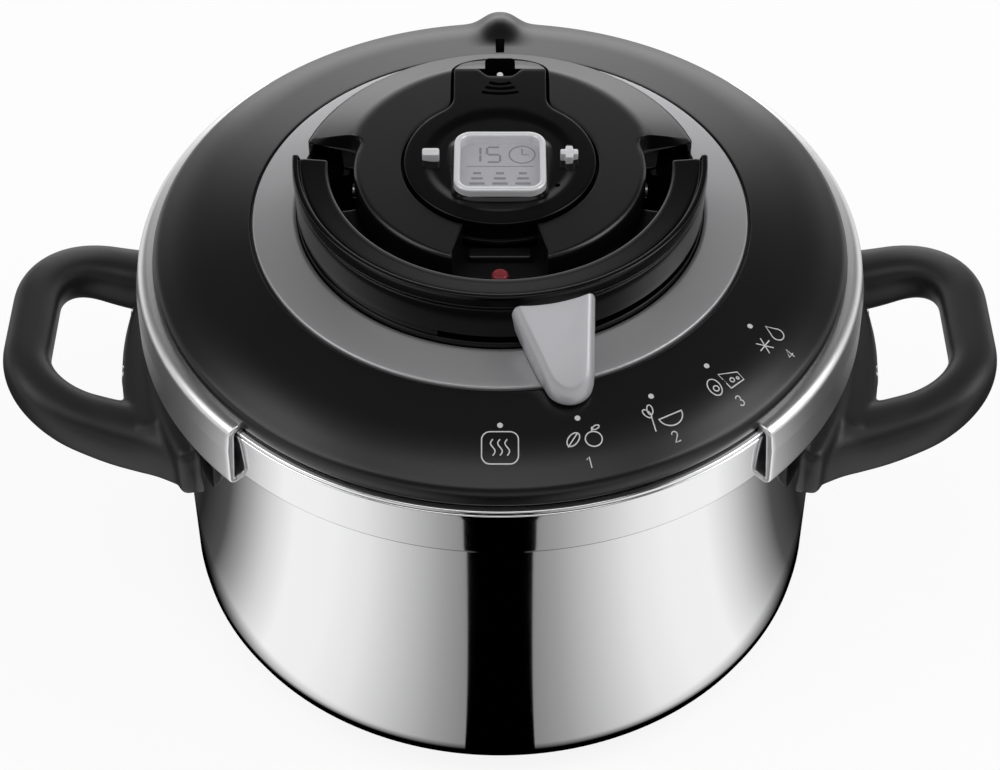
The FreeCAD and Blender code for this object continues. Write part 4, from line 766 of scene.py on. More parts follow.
# %% The cap's outlines
def arc(radius, start, end, count):
    """Points of a circle about the pot's axis, from one azimuth to another."""
    return around(radius, np.radians(np.linspace(start, end, count)), 0.0)[:, :2]


def resampled(line, count):
    """The same polyline with count points, evenly spaced along its length."""
    length = np.concatenate([[0.0], np.cumsum(np.linalg.norm(np.diff(line, axis=0), axis=1))])
    at = np.linspace(0.0, length[-1], count)
    return np.column_stack([np.interp(at, length, line[:, k]) for k in (0, 1)])


def mirrored(half):
    """The right half of an outline and then its mirror image, in one open run."""
    return np.concatenate([half, (half * [-1.0, 1.0])[::-1][1:]])


def whole(half):
    """The same as a closed outline: without the last point, which is the first one again."""
    return mirrored(half)[:-1]


DISC_RADIUS = 47.7
SHOULDER_RADIUS = high("hub_cap", 1)
STEM_HALF = 15.5
WELL_REAR = STEM_END + 0.9
ARCH_START = 46.0
POCKET = [(15.0, -45.3), (15.0, -42.0), (11.6, -29.4)]
POCKET_FLOOR = 175.5
CHANNEL_START = 97.0
CHANNEL_END = 107.0
SHOULDER_START = 49.5
SHOULDER_FOOT = 176.9
NECK_START = 28.0
WELL_FLOOR = 179.5
STEM_FLOOR = 170.2


def cap_level(radius):
    """Flat as far as SHOULDER_START, then down along the shoulder with a small bend at its start."""
    slope = (DISC_TOP - SHOULDER_FOOT) / (SHOULDER_RADIUS - SHOULDER_START - 1.0)
    out = np.maximum(radius - SHOULDER_START, 0.0)
    return DISC_TOP - np.where(out < 2.0, slope * out * out / 4.0, slope * (out - 1.0))


def timer_neck(border):
    """Half of the timer's outline from the disc's front to the stem's end, grown by border.

    The stem meets the disc in a concave fillet of 9 mm, as the flowing neck of the real one.
    """
    radius = TIMER_RADIUS + border
    half = STEM_HALF + border
    fillet = 9.0 - border
    reach = half + fillet
    along = np.sqrt((radius + fillet) ** 2 - reach ** 2)
    touch = 180.0 - np.degrees(np.arctan2(reach, along))
    start = np.arctan2(-along, -reach)
    sweep = np.linspace(start, -np.pi, 14)
    neck = np.column_stack([reach + fillet * np.cos(sweep), along + fillet * np.sin(sweep)])
    return touch, neck


def arch(half, end_level, count=24):
    """A quarter of a superellipse: x = half cos(t) ^ 0.85, y = start + (end - start) sin(t) ^ 0.85."""
    t = np.linspace(0, np.pi / 2, count)
    rise = (end_level - ARCH_START) * np.sin(t) ** 0.85
    return np.column_stack([half * np.cos(t).clip(0.0) ** 0.85, ARCH_START + rise])


def timer_outline(border, first_azimuth, end_level):
    """The right half of the timer's plan: disc arc, neck, stem side, and the arched rear end."""
    touch, neck = timer_neck(border)
    disc = arc(TIMER_RADIUS + border, first_azimuth, touch, 60)
    half = STEM_HALF + border
    side = np.column_stack([np.full(9, half), np.linspace(neck[-1, 1], ARCH_START, 10)[1:]])
    return np.concatenate([disc, neck[1:], side, arch(half, end_level)[1:]])


def corner_at(radius, azimuth, bend):
    """A point at an azimuth, as a corner with a bend."""
    return tuple(arc(radius, azimuth, azimuth, 1)[0]) + (bend,)


inner_half = np.concatenate([POCKET, timer_outline(0.9, 24.0, WELL_REAR)])
channel_side = bent([corner_at(DISC_RADIUS, CHANNEL_START, 0.0), corner_at(DISC_RADIUS, CHANNEL_END, 5.0),
                     corner_at(SHOULDER_RADIUS, CHANNEL_END + 0.6, 1.0),
                     corner_at(SHOULDER_RADIUS, CHANNEL_END + 6.0, 0.0)], closed=False, span=1.0)
outer_half = np.concatenate([[POCKET[0]], arc(DISC_RADIUS, 20.5, CHANNEL_START, 60), channel_side[1:],
                             arc(SHOULDER_RADIUS, CHANNEL_END + 6.0, 180.0, 70)[1:]])
print("inner outline", len(inner_half), "outer outline", len(outer_half), "points each side")

# %% The cap's surface
def hub_cap():
    """The band between the two outlines, carried across with a bend at each edge."""
    inner = mirrored(resampled(inner_half, 260))
    outer = mirrored(resampled(outer_half, 260))
    across = outer - inner
    width = np.linalg.norm(across, axis=1)
    across = across / np.maximum(width, 1e-6)[:, None]
    t = np.linspace(0, np.pi / 2, 6)
    small, large = 0.5, 2.2
    share = np.linspace(0, 1, 26)[1:-1]
    inward = np.concatenate([[0.0], small * (1 - np.cos(t))])
    middle = small + share[None] * (width[:, None] - small - large)
    outward_part = width[:, None] - np.concatenate([large * (1 - np.sin(t)), [0.0]])[None]
    where = np.concatenate([np.broadcast_to(inward, (len(width), 7)), middle, outward_part], axis=1)
    where = np.clip(where, 0.0, width[:, None])
    fall = np.concatenate([[0.0], small * (1 - np.sin(t)), np.zeros(len(share)),
                           large * (1 - np.cos(t)), [0.0]])
    plan = inner[:, None] + where[..., None] * across[:, None]
    level = cap_level(np.hypot(plan[..., 0], plan[..., 1])) - fall[None]
    level[:, 0] = np.where(inner[:, 1] > NECK_START, STEM_FLOOR, WELL_FLOOR)
    level[inner[:, 1] < -29.0, 0] = POCKET_FLOOR
    level[:, -1] = np.where(np.hypot(outer[:, 0], outer[:, 1]) > 55.0, rear_top + 0.1, 168.8)
    return shell(np.dstack([plan, level]))


pocket_plan = [(-14.9, -44.8, 1.0), (14.9, -44.8, 1.0), (14.9, -42.0, 2.0), (10.9, -26.0, 1.0),
               (-10.9, -26.0, 1.0), (-14.9, -42.0, 2.0)]
cap_shells = [
    hub_cap(),
    lifted([(x * 1.04, y, b) for x, y, b in pocket_plan], 173.8, POCKET_FLOOR, edge=0.1),
    lifted(box(-32.4, 32.4, -32.4, 32.4, 32.0), WELL_FLOOR - 1.5, WELL_FLOOR, edge=0.1),
    lifted(box(-17.2, 17.2, 26.0, WELL_REAR + 1.5, 2.0), STEM_FLOOR - 1.5, STEM_FLOOR, edge=0.1),
    lifted(box(-10.2, 10.2, -38.0, -33.2, 1.2), POCKET_FLOOR - 0.5, 178.0, edge=0.9),
]
make_piece("hub_cap_skin", cap_shells, "lid", CAP_PLASTIC, ["hub_cap"], sharp=35.0)

# %% [markdown]
# ## The bail
#
# The bail is a half ring of glossy plastic. Its top is dished, with a bead and a fine groove near the
# outer rim, and all of that is in the profile. An ear at each end drops down to the shaft.

# %% The bail
bail_outer = HUB_RADIUS + 0.5
bail_inner = 55.7
pivot_level = 172.5
bail_profile = [
    (bail_inner, BAIL_LOW, 0.8), (bail_inner, BAIL_LOW + 2.7, 1.5), (bail_inner + 3.0, BAIL_LOW + 2.95, 3.0),
    (bail_outer - 3.5, BAIL_TOP - 1.85, 2.0), (bail_outer - 2.75, BAIL_TOP - 2.1, 0.25),
    (bail_outer - 2.0, BAIL_TOP - 0.15, 0.4), (bail_outer - 0.2, BAIL_TOP, 0.7),
    (bail_outer, BAIL_LOW + 1.2, 0.9), (bail_outer - 0.5, BAIL_LOW, 0.7),
]
EAR_INNER = 56.5
EAR_OUTER = 64.0
EAR_EDGE = 0.6


def ear(direction):
    """The ear's side view (y, z) lifted along x: round about the shaft, and up to the ring."""
    side_view = bent([(-12.0, 184.9, 1.5), (-1.0, 184.9, 0.6), (5.2, 176.0, 4.0), (5.2, 169.0, 4.5),
                      (0.0, 167.3, 4.5), (-5.2, 169.0, 4.5), (-5.6, 176.0, 6.0)], span=1.0)
    t = np.linspace(0, np.pi / 2, 5)
    draw_in = EAR_EDGE * (1 - np.cos(t))
    advance = EAR_EDGE * (1 - np.sin(t))
    inset = np.concatenate([draw_in[::-1], draw_in])
    place = np.concatenate([EAR_INNER + advance[::-1], EAR_OUTER - advance])
    plan = side_view[None] - inset[:, None, None] * outward(side_view)[None]
    return shell(np.dstack([np.broadcast_to(place[:, None], plan.shape[:2]) * direction, plan]))


def sleeve(direction):
    """A turned sleeve round the shaft, from the cap's wall to the ear: radius 5.1 about the pivot."""
    t = np.linspace(0, 2 * np.pi, 40, endpoint=False)
    place = np.array([48.4, 48.4, 57.0, 57.0])[:, None] * direction
    radius = np.array([4.6, 5.1, 5.1, 4.6])[:, None]
    return shell(np.stack(np.broadcast_arrays(place, radius * np.cos(t),
                                              pivot_level + radius * np.sin(t)), -1))


half_ring = turned(bail_profile, -90.0, 90.0, edge=0.6, step=1.0, span=1.5)
make_piece("bail_skin", [half_ring, ear(1), ear(-1)], "bail", HUB_PLASTIC, ["bail_handle"])
# The sleeves are painted shade: a reflectionless black that darkens the gap round the bail's shafts.
make_piece("bail_sleeves", [sleeve(1), sleeve(-1)], "bail", BLACK_AND_SHADE)

# %% [markdown]
# ## The pressure indicator
#
# A red cap, round like a match head, that pops up through the front pocket.

# %% The indicator's cap
indicator_y = (low("indicator_cap", 1) + high("indicator_cap", 1)) / 2
indicator_radius = high("indicator_cap", 0) - 0.7
cap_low = low("indicator_cap", 2)
cap_high = high("indicator_cap", 2)
indicator = turned([(0.0, cap_low), (indicator_radius, cap_low, 0.3), (indicator_radius, cap_high, 2.4),
                    (0.0, cap_high)], step=6.0, span=1.0)
make_piece("indicator_cap_skin", [moved(indicator, indicator_y)], "indicator", INDICATOR_RED,
           ["indicator_cap"])

# %% [markdown]
# ## The selector lever
#
# The lever is a wedge that hangs from the hub's wall and points at a programme mark. In plan it
# narrows to a round tip. Its top is one flat slope, and a bevel of even width runs round it, so the
# piece is a stack of rings: each one is the same outline, drawn in by its own inset, at its own level.

# %% The selector lever
SELECTOR_AZIMUTH = 14.5
LEVER_ROOT = HUB_RADIUS + 0.45
LEVER_TIP = 91.6
TIP_RADIUS = 8.0
LEVER_TAPER = np.radians(16.0)
LEVER_HIGH = 184.2
LEVER_FALL = 0.69
LEVER_BEVEL = 2.6


def lever_plan(inset):
    """The lever's outline as (across, reach): root arc, side, round tip, side.

    The tip is an arc of TIP_RADIUS - inset; each side is its tangent at the taper's angle, as far as
    the root, and the root follows the hub: reach = sqrt(root^2 - across^2).
    """
    centre = LEVER_TIP - TIP_RADIUS
    radius = TIP_RADIUS - inset
    angle = np.linspace(np.pi / 2 - LEVER_TAPER, -np.pi / 2 + LEVER_TAPER, 40)
    tip = np.column_stack([radius * np.sin(angle), centre + radius * np.cos(angle)])
    root_half = tip[0, 0] + (tip[0, 1] - LEVER_ROOT + 1.2) * np.tan(LEVER_TAPER)
    across = np.linspace(-root_half, root_half, 16)
    root = np.column_stack([across, np.sqrt(LEVER_ROOT ** 2 - across ** 2)])
    t = np.linspace(0, 1, 16)[1:-1, None]
    return np.concatenate([root, root[-1] * (1 - t) + tip[0] * t, tip, tip[-1] * (1 - t) + root[0] * t])


def lever_top(reach):
    """The lever's top slope: it falls by LEVER_FALL for each millimetre outwards."""
    return LEVER_HIGH - LEVER_FALL * (reach - LEVER_ROOT)


def selector_lever():
    """Rings from the underside to the top: the flank bulges out, then a soft bevel leads to the slope."""
    flank = [(True, 1.0, 0.0), (True, 0.35, 0.5), (True, 0.0, 1.0)]
    bevel = [(False, 1 - np.cos(t), np.sin(t)) for t in np.linspace(0, np.pi / 2, 8)[1:]]
    base = lever_plan(0.0)
    reach = base[:, 1]
    draft = np.interp(reach, [67.0, 88.0], [2.6, 0.5])
    grid = []
    for is_flank, inset, rise in flank + bevel:
        if is_flank:
            plan = base * np.column_stack([1.0 - inset * draft / 12.0, 1.0 - inset * 0.4 / reach])
        else:
            plan = lever_plan(LEVER_BEVEL * inset)
        under = np.interp(plan[:, 1], [67.0, 82.8, 91.6], [167.3, 164.5, 163.1])
        waist = lever_top(reach) - np.minimum(4.4, 0.8 * (lever_top(reach) - under))
        start, end = (under, waist) if is_flank else (waist, lever_top(plan[:, 1]))
        grid.append(np.column_stack([plan, start * (1 - rise) + end * rise]))
    grid = np.array(grid)
    a = np.radians(SELECTOR_AZIMUTH)
    x = grid[..., 0] * np.cos(a) + grid[..., 1] * np.sin(a)
    y = grid[..., 0] * np.sin(a) - grid[..., 1] * np.cos(a)
    return shell(np.dstack([x, y, grid[..., 2]]))


tongue = turned(box(62.0, 67.6, 168.7, 170.5, 0.3), SELECTOR_AZIMUTH - 6.0, SELECTOR_AZIMUTH + 6.0, edge=0.3)
make_piece("selector_lever_skin", [selector_lever(), tongue], "selector", LEVER_SILVER,
           ["selector_lever"], sharp=50.0)

# %% [markdown]
# ## The timer
#
# The timer's case is one flowing outline in plan: a disc, a neck and a stem. Its face is a strip
# that runs from that outline to the display's window, along rays from the middle. A shallow dish lies
# round the display, which itself stands on a low cone. Behind the face a sloping tab closes the
# stem's end, with a black hook and a small pin in a notch between them.

# %% The timer's face
FACE = TIMER_TOP - 1.4
FACE_END = 47.2
NOTCH_HALF = 8.4
NOTCH_DEPTH = 4.0
WINDOW = (low("display_window", 0) - 0.1, high("display_window", 0) + 0.1,
          low("display_window", 1) - 0.1, high("display_window", 1) + 0.1)
WINDOW_BEND = 3.6
PANEL_TOP = high("display_panel", 2)


def case_half():
    """Disc arc, neck, stem side, rear edge, and half of the notch."""
    outline = timer_outline(0.0, 0.0, STEM_END)
    sides = outline[outline[:, 1] < FACE_END - 1.3]
    t = np.linspace(0, 1, 14)
    notch = np.column_stack([NOTCH_HALF * (1 - t), FACE_END - NOTCH_DEPTH * fade(t, 0.0, 0.6)])
    corner = bent([tuple(sides[-1]) + (0.0,), (STEM_HALF, FACE_END, 1.0), (NOTCH_HALF, FACE_END, 0.0)],
                  closed=False, span=1.0)
    return np.concatenate([sides, corner[1:-1], notch])


def window_outline(grow, bend, span, steps=12):
    """The window's rounded outline, grown by so much on every side."""
    x0, x1, y0, y1 = WINDOW
    return bent(box(x0 - grow, x1 + grow, y0 - grow, y1 + grow, bend), span=span, steps=steps)


def azimuth_of(line):
    """The azimuth of each point of a plan line, in degrees."""
    return np.degrees(np.arctan2(line[:, 0], -line[:, 1])) % 360.0


def window_line(azimuth):
    """Where a ray from the middle at each azimuth meets the window's rounded outline."""
    line = window_outline(0.0, WINDOW_BEND, 0.4, steps=20)
    own = azimuth_of(line)
    order = np.argsort(own)
    radius = np.interp(azimuth, own[order], np.hypot(line[:, 0], line[:, 1])[order], period=360.0)
    return around(radius, np.radians(azimuth), 0.0)[:, :2]


def face_level(x, y, past_window):
    """Flat, with a dish inside a radius of 24 mm and a cone that climbs to the display's frame."""
    dish = 0.5 * (1.0 - fade(np.hypot(x, y), 21.5, 25.5))
    return FACE - dish + 1.2 * (1.0 - fade(past_window, 1.6, 4.2))


def timer_case():
    """The face's grid: down the outer wall, over its edge, then along the rays to the window and down."""
    line = whole(case_half())
    rows = [level_ring(line, TIMER_SEAM - 0.2)] + rounded_rings(line, outward(line), 0.5, FACE)
    start = rows[-1][:, :2]
    inner = window_line(azimuth_of(line))
    for share in np.linspace(0, 1, 26)[1:]:
        plan = start * (1 - share) + inner * share
        past = np.linalg.norm(plan - inner, axis=1)
        rows.append(np.column_stack([plan, face_level(plan[:, 0], plan[:, 1], past)]))
    rows.append(level_ring(inner, PANEL_TOP - 1.0))
    return shell(np.array(rows), closed_rows=True)


tab_half = np.concatenate([[(0.0, FACE_END + 0.7), (STEM_HALF - 0.2, FACE_END + 0.7)],
                           arch(STEM_HALF, STEM_END)[8:]])
tab_half = tab_half[tab_half[:, 1] > FACE_END + 0.6]
tab = raised(whole(tab_half), TIMER_SEAM - 0.4, FACE - 0.6, 0.4, lambda x, y: -0.42 * (y - FACE_END))
stem_half = np.concatenate([[(0.0, NECK_START), (STEM_HALF - 0.1, NECK_START), (STEM_HALF - 0.1, 29.0)],
                            arch(STEM_HALF - 0.1, STEM_END - 0.1)])
stem_block = raised(whole(stem_half), 172.0, TIMER_SEAM - 0.6, 0.2)
hook = lifted(box(-5.1, 5.1, 46.2, 53.5, 1.6), TIMER_SEAM, FACE - 0.3, edge=0.9)
bowl = lifted(box(-9.0, 9.0, 42.4, 50.0, 1.0), TIMER_SEAM, FACE - 2.4, edge=0.2)
make_piece("timer_case_skin", [timer_case(), tab, stem_block], "timer", TIMER_PLASTIC, ["timer_case"],
           sharp=35.0)
# The bowl is the floor of the notch in reflectionless black, which paints the shade in the notch; the hook is
# black itself.
make_piece("timer_hook", [hook, bowl], "timer", BLACK_AND_SHADE)
pin = turned([(0.0, TIMER_SEAM), (1.1, TIMER_SEAM, 0.1), (1.1, FACE - 0.5, 0.8), (0.0, FACE - 0.5)],
             step=12.0, span=1.0)
make_piece("timer_pin", [moved(pin, 44.8)], "timer", BEZEL_SILVER)

# %% [markdown]
# ## The display
#
# The frame round the display stands on a low pedestal. Under its window the panel shows two digits, a
# small dial, a line and three level bars, all as thin raised shapes of dark ink.

# %% The display's frame
def frame_band(grow_out, grow_in, bottom, top, bend_out, edge):
    """A band round the window: its outer and inner outlines are joined over two rounded edges."""
    outer = window_outline(grow_out, bend_out, 50.0)
    inner = window_outline(grow_in, bend_out - grow_out + grow_in, 50.0)
    rings = [level_ring(outer, bottom)] + rounded_rings(outer, outward(outer), edge, top)
    rings += rounded_rings(inner, -outward(inner), edge, top)[::-1] + [level_ring(inner, bottom)]
    return shell(np.array(rings), closed_rows=True)


bezel = frame_band(2.0, -0.12, PANEL_TOP - 0.1, BEZEL_TOP, WINDOW_BEND + 2.0, 0.8)
make_piece("display_bezel_skin", [bezel], "timer", BEZEL_SILVER, ["display_bezel"])

# %% [markdown]
# ## Thin strokes
#
# Printed marks and display segments are strokes: a flat rectangle carried along a line in plan. On
# the cover they follow its level, a few hundredths of a millimetre proud.

# %% Strokes
def stroke(line, width, level, height=0.08, closed=False):
    """A line in plan as a thin strip: its normal gives the two sides, and level gives its height."""
    line = np.asarray(line, float)
    if closed:
        along = np.roll(line, -1, axis=0) - np.roll(line, 1, axis=0)
    else:
        along = np.gradient(line, axis=0)
    along /= np.maximum(np.linalg.norm(along, axis=1), 1e-9)[:, None]
    side = np.stack([along[:, 1], -along[:, 0]], 1) * width / 2
    columns = []
    for offset, rise in ((side, -0.05), (side, height), (-side, height), (-side, -0.05)):
        plan = line + offset
        columns.append(np.column_stack([plan, level(plan) + rise]))
    return shell(np.stack(columns, axis=1), closed_rows=closed)


def ring_line(x, y, radius, count=28, start=0.0, end=360.0):
    """A circle, or a part of one, as points in plan; a whole circle doesn't repeat its first point."""
    a = np.radians(np.linspace(start, end, count, endpoint=end - start < 360.0))
    return np.column_stack([x + radius * np.cos(a), y + radius * np.sin(a)])


def on_panel(plan):
    """The display panel is flat."""
    return np.full(len(plan), PANEL_TOP)


SEGMENTS = {"1": "bc", "5": "afgcd"}
DIGIT_WIDTH = 4.2
DIGIT_HEIGHT = 7.4
SEGMENT_GAP = 0.3


def digit(value, x, y):
    """A seven-segment digit: each letter is one stroke between two corners of the figure."""
    ends = {"a": ((0, 1), (1, 1)), "b": ((1, 1), (1, 0.5)), "c": ((1, 0.5), (1, 0)), "d": ((1, 0), (0, 0)),
            "f": ((0, 0.5), (0, 1)), "g": ((0, 0.5), (1, 0.5))}
    strokes = []
    for letter in SEGMENTS[value]:
        line = np.array(ends[letter]) * [DIGIT_WIDTH, DIGIT_HEIGHT] + [x, y]
        gap = (line[1] - line[0]) / np.linalg.norm(line[1] - line[0]) * SEGMENT_GAP
        strokes.append(stroke([line[0] + gap, line[1] - gap], 0.75, on_panel))
    return strokes


display_strokes = digit("1", -10.6, -1.1) + digit("5", -4.2, -1.1)
display_strokes.append(stroke(ring_line(7.2, 2.6, 4.2, 40), 0.5, on_panel, closed=True))
display_strokes.append(stroke([(7.2, 5.5), (7.2, 2.6), (9.4, 2.6)], 0.5, on_panel))
display_strokes.append(stroke([(-11.0, -3.2), (11.0, -3.2)], 0.3, on_panel))
for place in range(3):
    x = -7.4 + place * 7.4
    for rise in range(3):
        half = 2.5 - 0.6 * rise
        y = -11.6 + rise * 2.5
        display_strokes.append(stroke([(x - half, y), (x + half, y)], 1.0, on_panel))
make_piece("display_marks", display_strokes, "timer", DISPLAY_INK)


def on_face(plan):
    """The timer's face away from the display."""
    return face_level(plan[:, 0], plan[:, 1], 99.0)


grip_strokes = []
for y, half in ((38.6, 3.6), (36.2, 4.9), (33.6, 6.1)):
    across = np.linspace(-half, half, 14)
    bow = np.column_stack([across, y + 0.9 * (across / half) ** 2])
    grip_strokes.append(stroke(bow, 1.1, on_face, height=0.12))
grip_strokes.append(stroke(ring_line(18.5, -12.4, 0.45, 12), 0.9, on_face, closed=True, height=0.05))
make_piece("timer_grip_marks", grip_strokes, "timer", BLACK_AND_SHADE)

# %% [markdown]
# ## The keys
#
# The minus key is a bar and the plus key a cross, both moulded proud of the case with soft edges.

# %% The keys
KEY_PLACE = 22.5
KEY_ROW = 1.0
KEY_LOW = 184.6


def key_plan(x, kind):
    """The outline of a bar, or of a cross, about its place."""
    if kind == "minus":
        return box(x - 2.8, x + 2.8, KEY_ROW - 1.7, KEY_ROW + 1.7, 0.7)
    long, wide = 2.9, 1.2
    steps = [(-long, -wide), (-wide, -wide), (-wide, -long), (wide, -long), (wide, -wide), (long, -wide),
             (long, wide), (wide, wide), (wide, long), (-wide, long), (-wide, wide), (-long, wide)]
    return [(x + a, KEY_ROW + b, 0.5) for a, b in steps]


for kind, x in (("minus", -KEY_PLACE), ("plus", KEY_PLACE)):
    key = lifted(key_plan(x, kind), KEY_LOW, high(kind + "_button", 2), edge=0.5)
    make_piece(kind + "_key_skin", [key], kind + "_key", BEZEL_SILVER, [kind + "_button"])

# %% [markdown]
# ## Programme marks
#
# Each programme has a dot by the ring, a small line drawing and a plain number. The drawings are
# strokes in a local plan, turned to face outwards and laid on the cover's curve.

# %% The drawings
def wave(x, y, height, swing, count=14):
    """One rising wisp of steam: x swings as a sine while y climbs."""
    t = np.linspace(0, 1, count)
    return np.column_stack([x + swing * np.sin(t * 2 * np.pi), y + height * t])


def oval(x, y, a, b, tilt=0.0, start=0.0, end=360.0, count=30):
    """An ellipse, or a part of one, turned by tilt."""
    line = ring_line(0, 0, 1.0, count, start, end) * [a, b]
    c, s = np.cos(np.radians(tilt)), np.sin(np.radians(tilt))
    return line @ np.array([[c, s], [-s, c]]) + [x, y]


def soft_box(x0, x1, y0, y1, bend):
    """A rounded square as points."""
    return bent(box(x0, x1, y0, y1, bend), span=1.0)


DRAWINGS = [
    (0.0, None, [(soft_box(-5.6, 5.6, -5.2, 5.2, 2.6), True)]
     + [(wave(x, -2.6, 5.2, 0.7), False) for x in (-2.2, 0.0, 2.2)]),
    (14.5, "1", [
        (oval(-3.2, 0.6, 2.6, 1.5, 40.0), True), ([(-5.4, -1.5), (-1.4, 2.4)], False),
        (oval(3.0, -0.4, 2.6, 2.4), True), ([(3.0, 2.0), (3.4, 3.6)], False),
        (oval(4.6, 3.2, 1.2, 0.6, 20.0), True)]),
    (29.5, "2", [
        (oval(2.0, -0.6, 4.0, 3.4, 0.0, 180.0, 360.0), False), ([(-2.2, -0.6), (6.2, -0.6)], False),
        (oval(-4.4, 2.6, 0.9, 1.7, 20.0), True), (oval(-2.9, 3.4, 0.9, 1.7, -20.0), True),
        ([(-4.9, -3.6), (-3.6, 1.4)], False)]),
    (43.0, "3", [
        (oval(-3.6, 0.4, 2.1, 2.9, -12.0), True), (oval(-3.5, -0.2, 0.9, 0.9), True),
        ([(0.6, -2.8), (6.4, -2.8), (6.4, 0.2), (0.6, 3.0), (0.6, -2.8)], False),
        (oval(3.0, -0.9, 0.7, 0.7), True), (oval(5.0, -1.4, 0.4, 0.4), True)]),
    (57.0, "4", [
        ([(-6.2, 0.0), (-0.6, 0.0)], False), ([(-4.8, -2.5), (-2.0, 2.5)], False),
        ([(-4.8, 2.5), (-2.0, -2.5)], False), (oval(3.4, -0.8, 2.1, 2.1, 0.0, -225.0, 45.0), False),
        ([(1.9, 0.7), (3.4, 3.6), (4.9, 0.7)], False)]),
]
NUMERALS = {
    "1": [[(-0.8, 0.9), (0.1, 1.6), (0.1, -1.6)]],
    "2": [np.concatenate([ring_line(0, 0.7, 0.9, 8, 170.0, -30.0), [(-0.9, -1.6), (1.0, -1.6)]])],
    "3": [np.concatenate([ring_line(0, 0.8, 0.8, 8, 160.0, -80.0),
                          ring_line(0, -0.75, 0.9, 8, 80.0, -160.0)])],
    "4": [[(0.5, -1.6), (0.5, 1.6), (-1.0, -0.6), (1.2, -0.6)]],
}


def on_cover(plan):
    """The cover's level under a point in plan."""
    return cover_level(np.hypot(plan[:, 0], plan[:, 1]))


def laid(line, azimuth, radius):
    """Local plan points, x to the right and y towards the hub, moved out to a radius and an azimuth."""
    x, y = np.asarray(line, float).T
    a = np.radians(azimuth)
    out = radius - y
    return np.column_stack([x * np.cos(a) + out * np.sin(a), x * np.sin(a) - out * np.cos(a)])


DOT_RADIUS = 94.6
DRAWING_RADIUS = 102.0
NUMERAL_RADIUS = 109.2
mark_shells = []
for azimuth, number, lines in DRAWINGS:
    dot = laid(ring_line(0, 0, 0.45, 12), azimuth, DOT_RADIUS)
    mark_shells.append(stroke(dot, 0.9, on_cover, closed=True))
    for line, closed in lines:
        mark_shells.append(stroke(laid(line, azimuth, DRAWING_RADIUS), 0.38, on_cover, closed=closed))
    for line in NUMERALS.get(number, []):
        mark_shells.append(stroke(laid(line, azimuth, NUMERAL_RADIUS), 0.36, on_cover))
make_piece("programme_marks", mark_shells, "lid", MARK_GREY)

# %% [markdown]
# ## The studio
#
# A white floor, soft lamps and a camera above the front. The polished wall reflects the floor in
# front of it, so a black card lies there, seen only in reflections: it draws the dark upright stripe
# that gives the steel its depth.

# %% Floor and reflections
def lamp(name, place, target, size, power):
    """A soft rectangular lamp that looks at a target, in metres and watts."""
    data = bpy.data.lights.new(name, "AREA")
    data.shape = "RECTANGLE"
    data.size, data.size_y = size
    data.energy = power
    thing = bpy.data.objects.new(name, data)
    bpy.context.scene.collection.objects.link(thing)
    thing.location = place
    aim = np.array(target) - np.array(place)
    thing.rotation_euler = Vector(aim).to_track_quat("-Z", "Y").to_euler()


CARD_START = 6.7
CARD_SPREAD = 16.5
POT_FOOT = 0.112
FAR_GREY = 0.75
FLOOR_WHITE = 0.88
FLOOR_HALF = 40.0
FLOOR_STOPS = [
    (0.0, 0.22), (8.0, 0.26), (14.0, 0.36), (24.0, 0.6), (34.0, 0.84), (44.0, 0.95), (56.0, 0.96),
    (64.0, 0.7), (72.0, 0.36), (80.0, 0.08), (92.0, 0.02), (104.0, 0.05), (125.0, 0.5), (150.0, 0.8),
    (168.0, 0.3), (178.0, 0.0),
]


